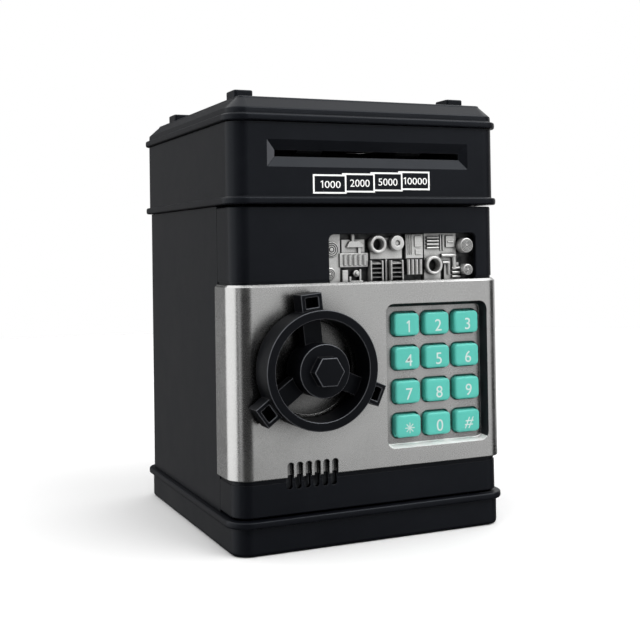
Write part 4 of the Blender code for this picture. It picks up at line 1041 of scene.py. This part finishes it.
def make_key_print():
    face = KEY_FRONT_Y + 0.05
    for name, (x, z) in zip(KEY_NAMES, KEY_PLACES):
        centre = (x + DIGIT_SHIFT[0], z + DIGIT_SHIFT[1])
        if name == "star":
            shape = ink_block(star_outline(centre, 2.3, 0.2), face)
        elif name == "hash":
            shape = text_shape("#", centre, HASH_H, face, 0.002, shear=0.25)
        else:
            shape = text_shape(name, centre, DIGIT_H, face, 0.002)
        printed(f"print_key_{name}", shape, f"key_{name}", KEY_INK)


# --- inside of the door ---

def make_inner_cover():
    (x0, x1), (y0, y1), (z0, z1) = COVER
    outline = rounded_box(x0, x1, z0, z1, 2.0, 5)
    bars = [(90.0, 1.4, (-2.0, z)) for z in (30.5, 40.5, 50.5, 107.0, 117.0)]
    bars += [(1.4, 34.0, (x, 79.0)) for x in (22.0, 30.0, 38.0, 46.0)]
    ribs = [eased(rounded(width, height, 0.6, place, 4), y1 + 0.5, y1 - 0.4, 0.25)
            for width, height, place in bars]
    holes = []
    for k in (1, 2, 3, 4):
        sides = limits(f"door_screw_{k}")
        holes.append(rod(SCREW_HOLE_R, (middle(sides[0]), middle(sides[2])), y0 - 1.0, y1 + 1.0, "Y"))
    holes.append(rod(SPINDLE_HOLE_R, WHEEL, y0 - 1.0, y1 + 1.0, "Y"))
    solid("inner_cover_moulding", "door_inner_cover", eased(outline, y0, y1, 0.35, both=True),
          [merged(*ribs)], [merged(*holes)], "inner_black", "door")


# --- CAD nodes that keep their shape ---

KEPT = {
    "steel": ["battery_contact_left", "battery_contact_right", "strike_plate", "hinge_pin_lower",
              "hinge_pin_upper", "feed_shaft", "lock_solenoid", "solenoid_plunger", "battery_cover_screw"],
    "motor_can": ["feed_motor"],
    "inner_black": ["coin_chute", "feeder_frame", "pinch_shaft", "speaker", "wheel_spindle", "lock_cover"],
    "rubber_black": ["feed_roller_left", "feed_roller_right", "keypad_mat"],
    "gear_white": ["feed_gear", "idler_gear", "motor_pinion", "latch_pinion", "latch_bolt"],
    "board_green": ["main_pcb", "keypad_pcb"],
    "cell_wrap": ["battery_1", "battery_2", "battery_3"],
}
KEPT["steel"] += [f"{kind}_screw_{k}" for kind in ("base", "door") for k in (1, 2, 3, 4)]


def finish_kept_nodes():
    for slot_name, nodes in KEPT.items():
        for node in nodes:
            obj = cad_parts[node]
            for material_slot in obj.material_slots:
                material_slot.material = MATERIALS[slot_name]
            weld = obj.modifiers.new("weld", "WELD")
            weld.merge_threshold = WELD
            bevel = obj.modifiers.new("broken edges", "BEVEL")
            bevel.width = 0.00015
            bevel.segments = 2
            bevel.limit_method = "ANGLE"
            bevel.angle_limit = math.radians(40)


# --- stage ---

def plain(name, shade_of_grey, glow=0.0):
    """A matt grey or white."""
    n = Nodes(name)
    colour = (shade_of_grey,) * 3
    tint = (shade_of_grey * 0.985,) * 3
    n.give(Base_Color=n.mixed(n.ranged(n.noise(6.0, 3.0), 0.0, 1.0), tint, colour), Roughness=0.9,
           Specular_IOR_Level=0.0, Emission_Color=(1.0, 1.0, 1.0), Emission_Strength=glow)
    return n.material


def stage_piece(name, shape, material):
    points, faces = shape
    mesh = bpy.data.meshes.new(name)
    mesh.from_pydata(points, [], faces)
    mesh.shade_smooth()
    mesh.materials.append(material)
    obj = linked(name, mesh)
    return obj


def make_stage():
    """A white floor, and a white wall all round it that only the camera sees."""
    floor_r, wall_r, wall_top = 1.1, 2.6, 2.4
    ring = circle(floor_r, steps=96)
    floor = stage_piece("floor", ([(x, y, 0.0) for x, y in ring], [list(range(len(ring)))]),
                        plain("floor_white", 0.71))
    floor.visible_glossy = False
    profile = [(floor_r - 0.01, -0.001), (wall_r - 0.5, -0.001), (wall_r, 0.5), (wall_r, wall_top)]
    profile.append((0.4, wall_top + 1.0))
    wall = stage_piece("surround", turned(profile, (0.0, 0.0), "Z", 96), plain("surround_white", 0.0, 1.0))
    for ray in ("diffuse", "glossy", "transmission", "volume_scatter", "shadow"):
        setattr(wall, f"visible_{ray}", False)


def add_light(name, angle, distance, height, width, tall, radiance, target=(0.0, 0.0, 0.095)):
    """A softbox that looks at the object; the angle goes from the front towards its left side."""
    a = math.radians(angle)
    place = Vector((-distance * math.sin(a), -distance * math.cos(a), height))
    light = bpy.data.lights.new(name, "AREA")
    light.shape = "RECTANGLE"
    light.size, light.size_y = width, tall
    light.energy = radiance * width * tall * math.pi
    obj = linked(name, light)
    obj.location = place
    obj.rotation_euler = (Vector(target) - place).to_track_quat("-Z", "Y").to_euler()
    obj.visible_camera = False


def make_lights():
    add_light("overhead", 0, 0.0, 1.6, 4.4, 4.4, 1.75, target=(0.0, 0.001, 0.0))
    add_light("left_main", 103, 1.1, 0.25, 1.65, 1.3, 1.55)
    add_light("left_back", 156, 1.1, 0.25, 0.50, 1.3, 0.24)
    add_light("left_front", 50, 1.1, 0.25, 0.30, 1.2, 0.55)
    add_light("front_fill", -37, 1.2, 0.30, 1.35, 1.3, 0.80)
    add_light("front_high", -40, 0.9, 1.05, 1.3, 0.7, 4.0)
    add_light("right_back", -125, 1.3, 0.35, 1.3, 1.2, 0.7)
    world = bpy.data.worlds.new("studio")
    world.use_nodes = True
    background = world.node_tree.nodes["Background"]
    background.inputs["Color"].default_value = (1.0, 1.0, 1.0, 1.0)
    background.inputs["Strength"].default_value = 0.05
    bpy.context.scene.world = world
    bpy.context.scene.view_settings.view_transform = "Standard"


def make_camera():
    """The camera stands to the object's left, a little above its middle."""
    yaw, pitch, roll = (math.radians(a) for a in (23.810, -0.965, -0.859))
    place = (-0.20518, -0.47598, 0.12578)
    ahead = math.cos(pitch)
    forward = Vector((math.sin(yaw) * ahead, math.cos(yaw) * ahead, -math.sin(pitch)))
    level = Vector((math.cos(yaw), -math.sin(yaw), 0.0))
    upright = level.cross(forward)
    right = level * math.cos(roll) + upright * math.sin(roll)
    up = upright * math.cos(roll) - level * math.sin(roll)
    camera = bpy.data.cameras.new("camera")
    camera.sensor_width = 36.0
    camera.lens = 60.34
    camera.shift_y = -0.1444
    camera.clip_start, camera.clip_end = 0.01, 20.0
    obj = linked("camera", camera)
    obj.matrix_world = Matrix.Translation(place) @ Matrix((right, up, -forward)).transposed().to_4x4()
    bpy.context.scene.camera = obj


def main():
    make_camera()
    for make in (make_base, make_battery_cover, make_body, make_top_housing, make_lid, make_door,
                 make_face_plate, make_keys, make_relief, make_wheel, make_inner_cover,
                 make_number_boxes, make_key_print, finish_kept_nodes, make_stage, make_lights):
        make()


main()
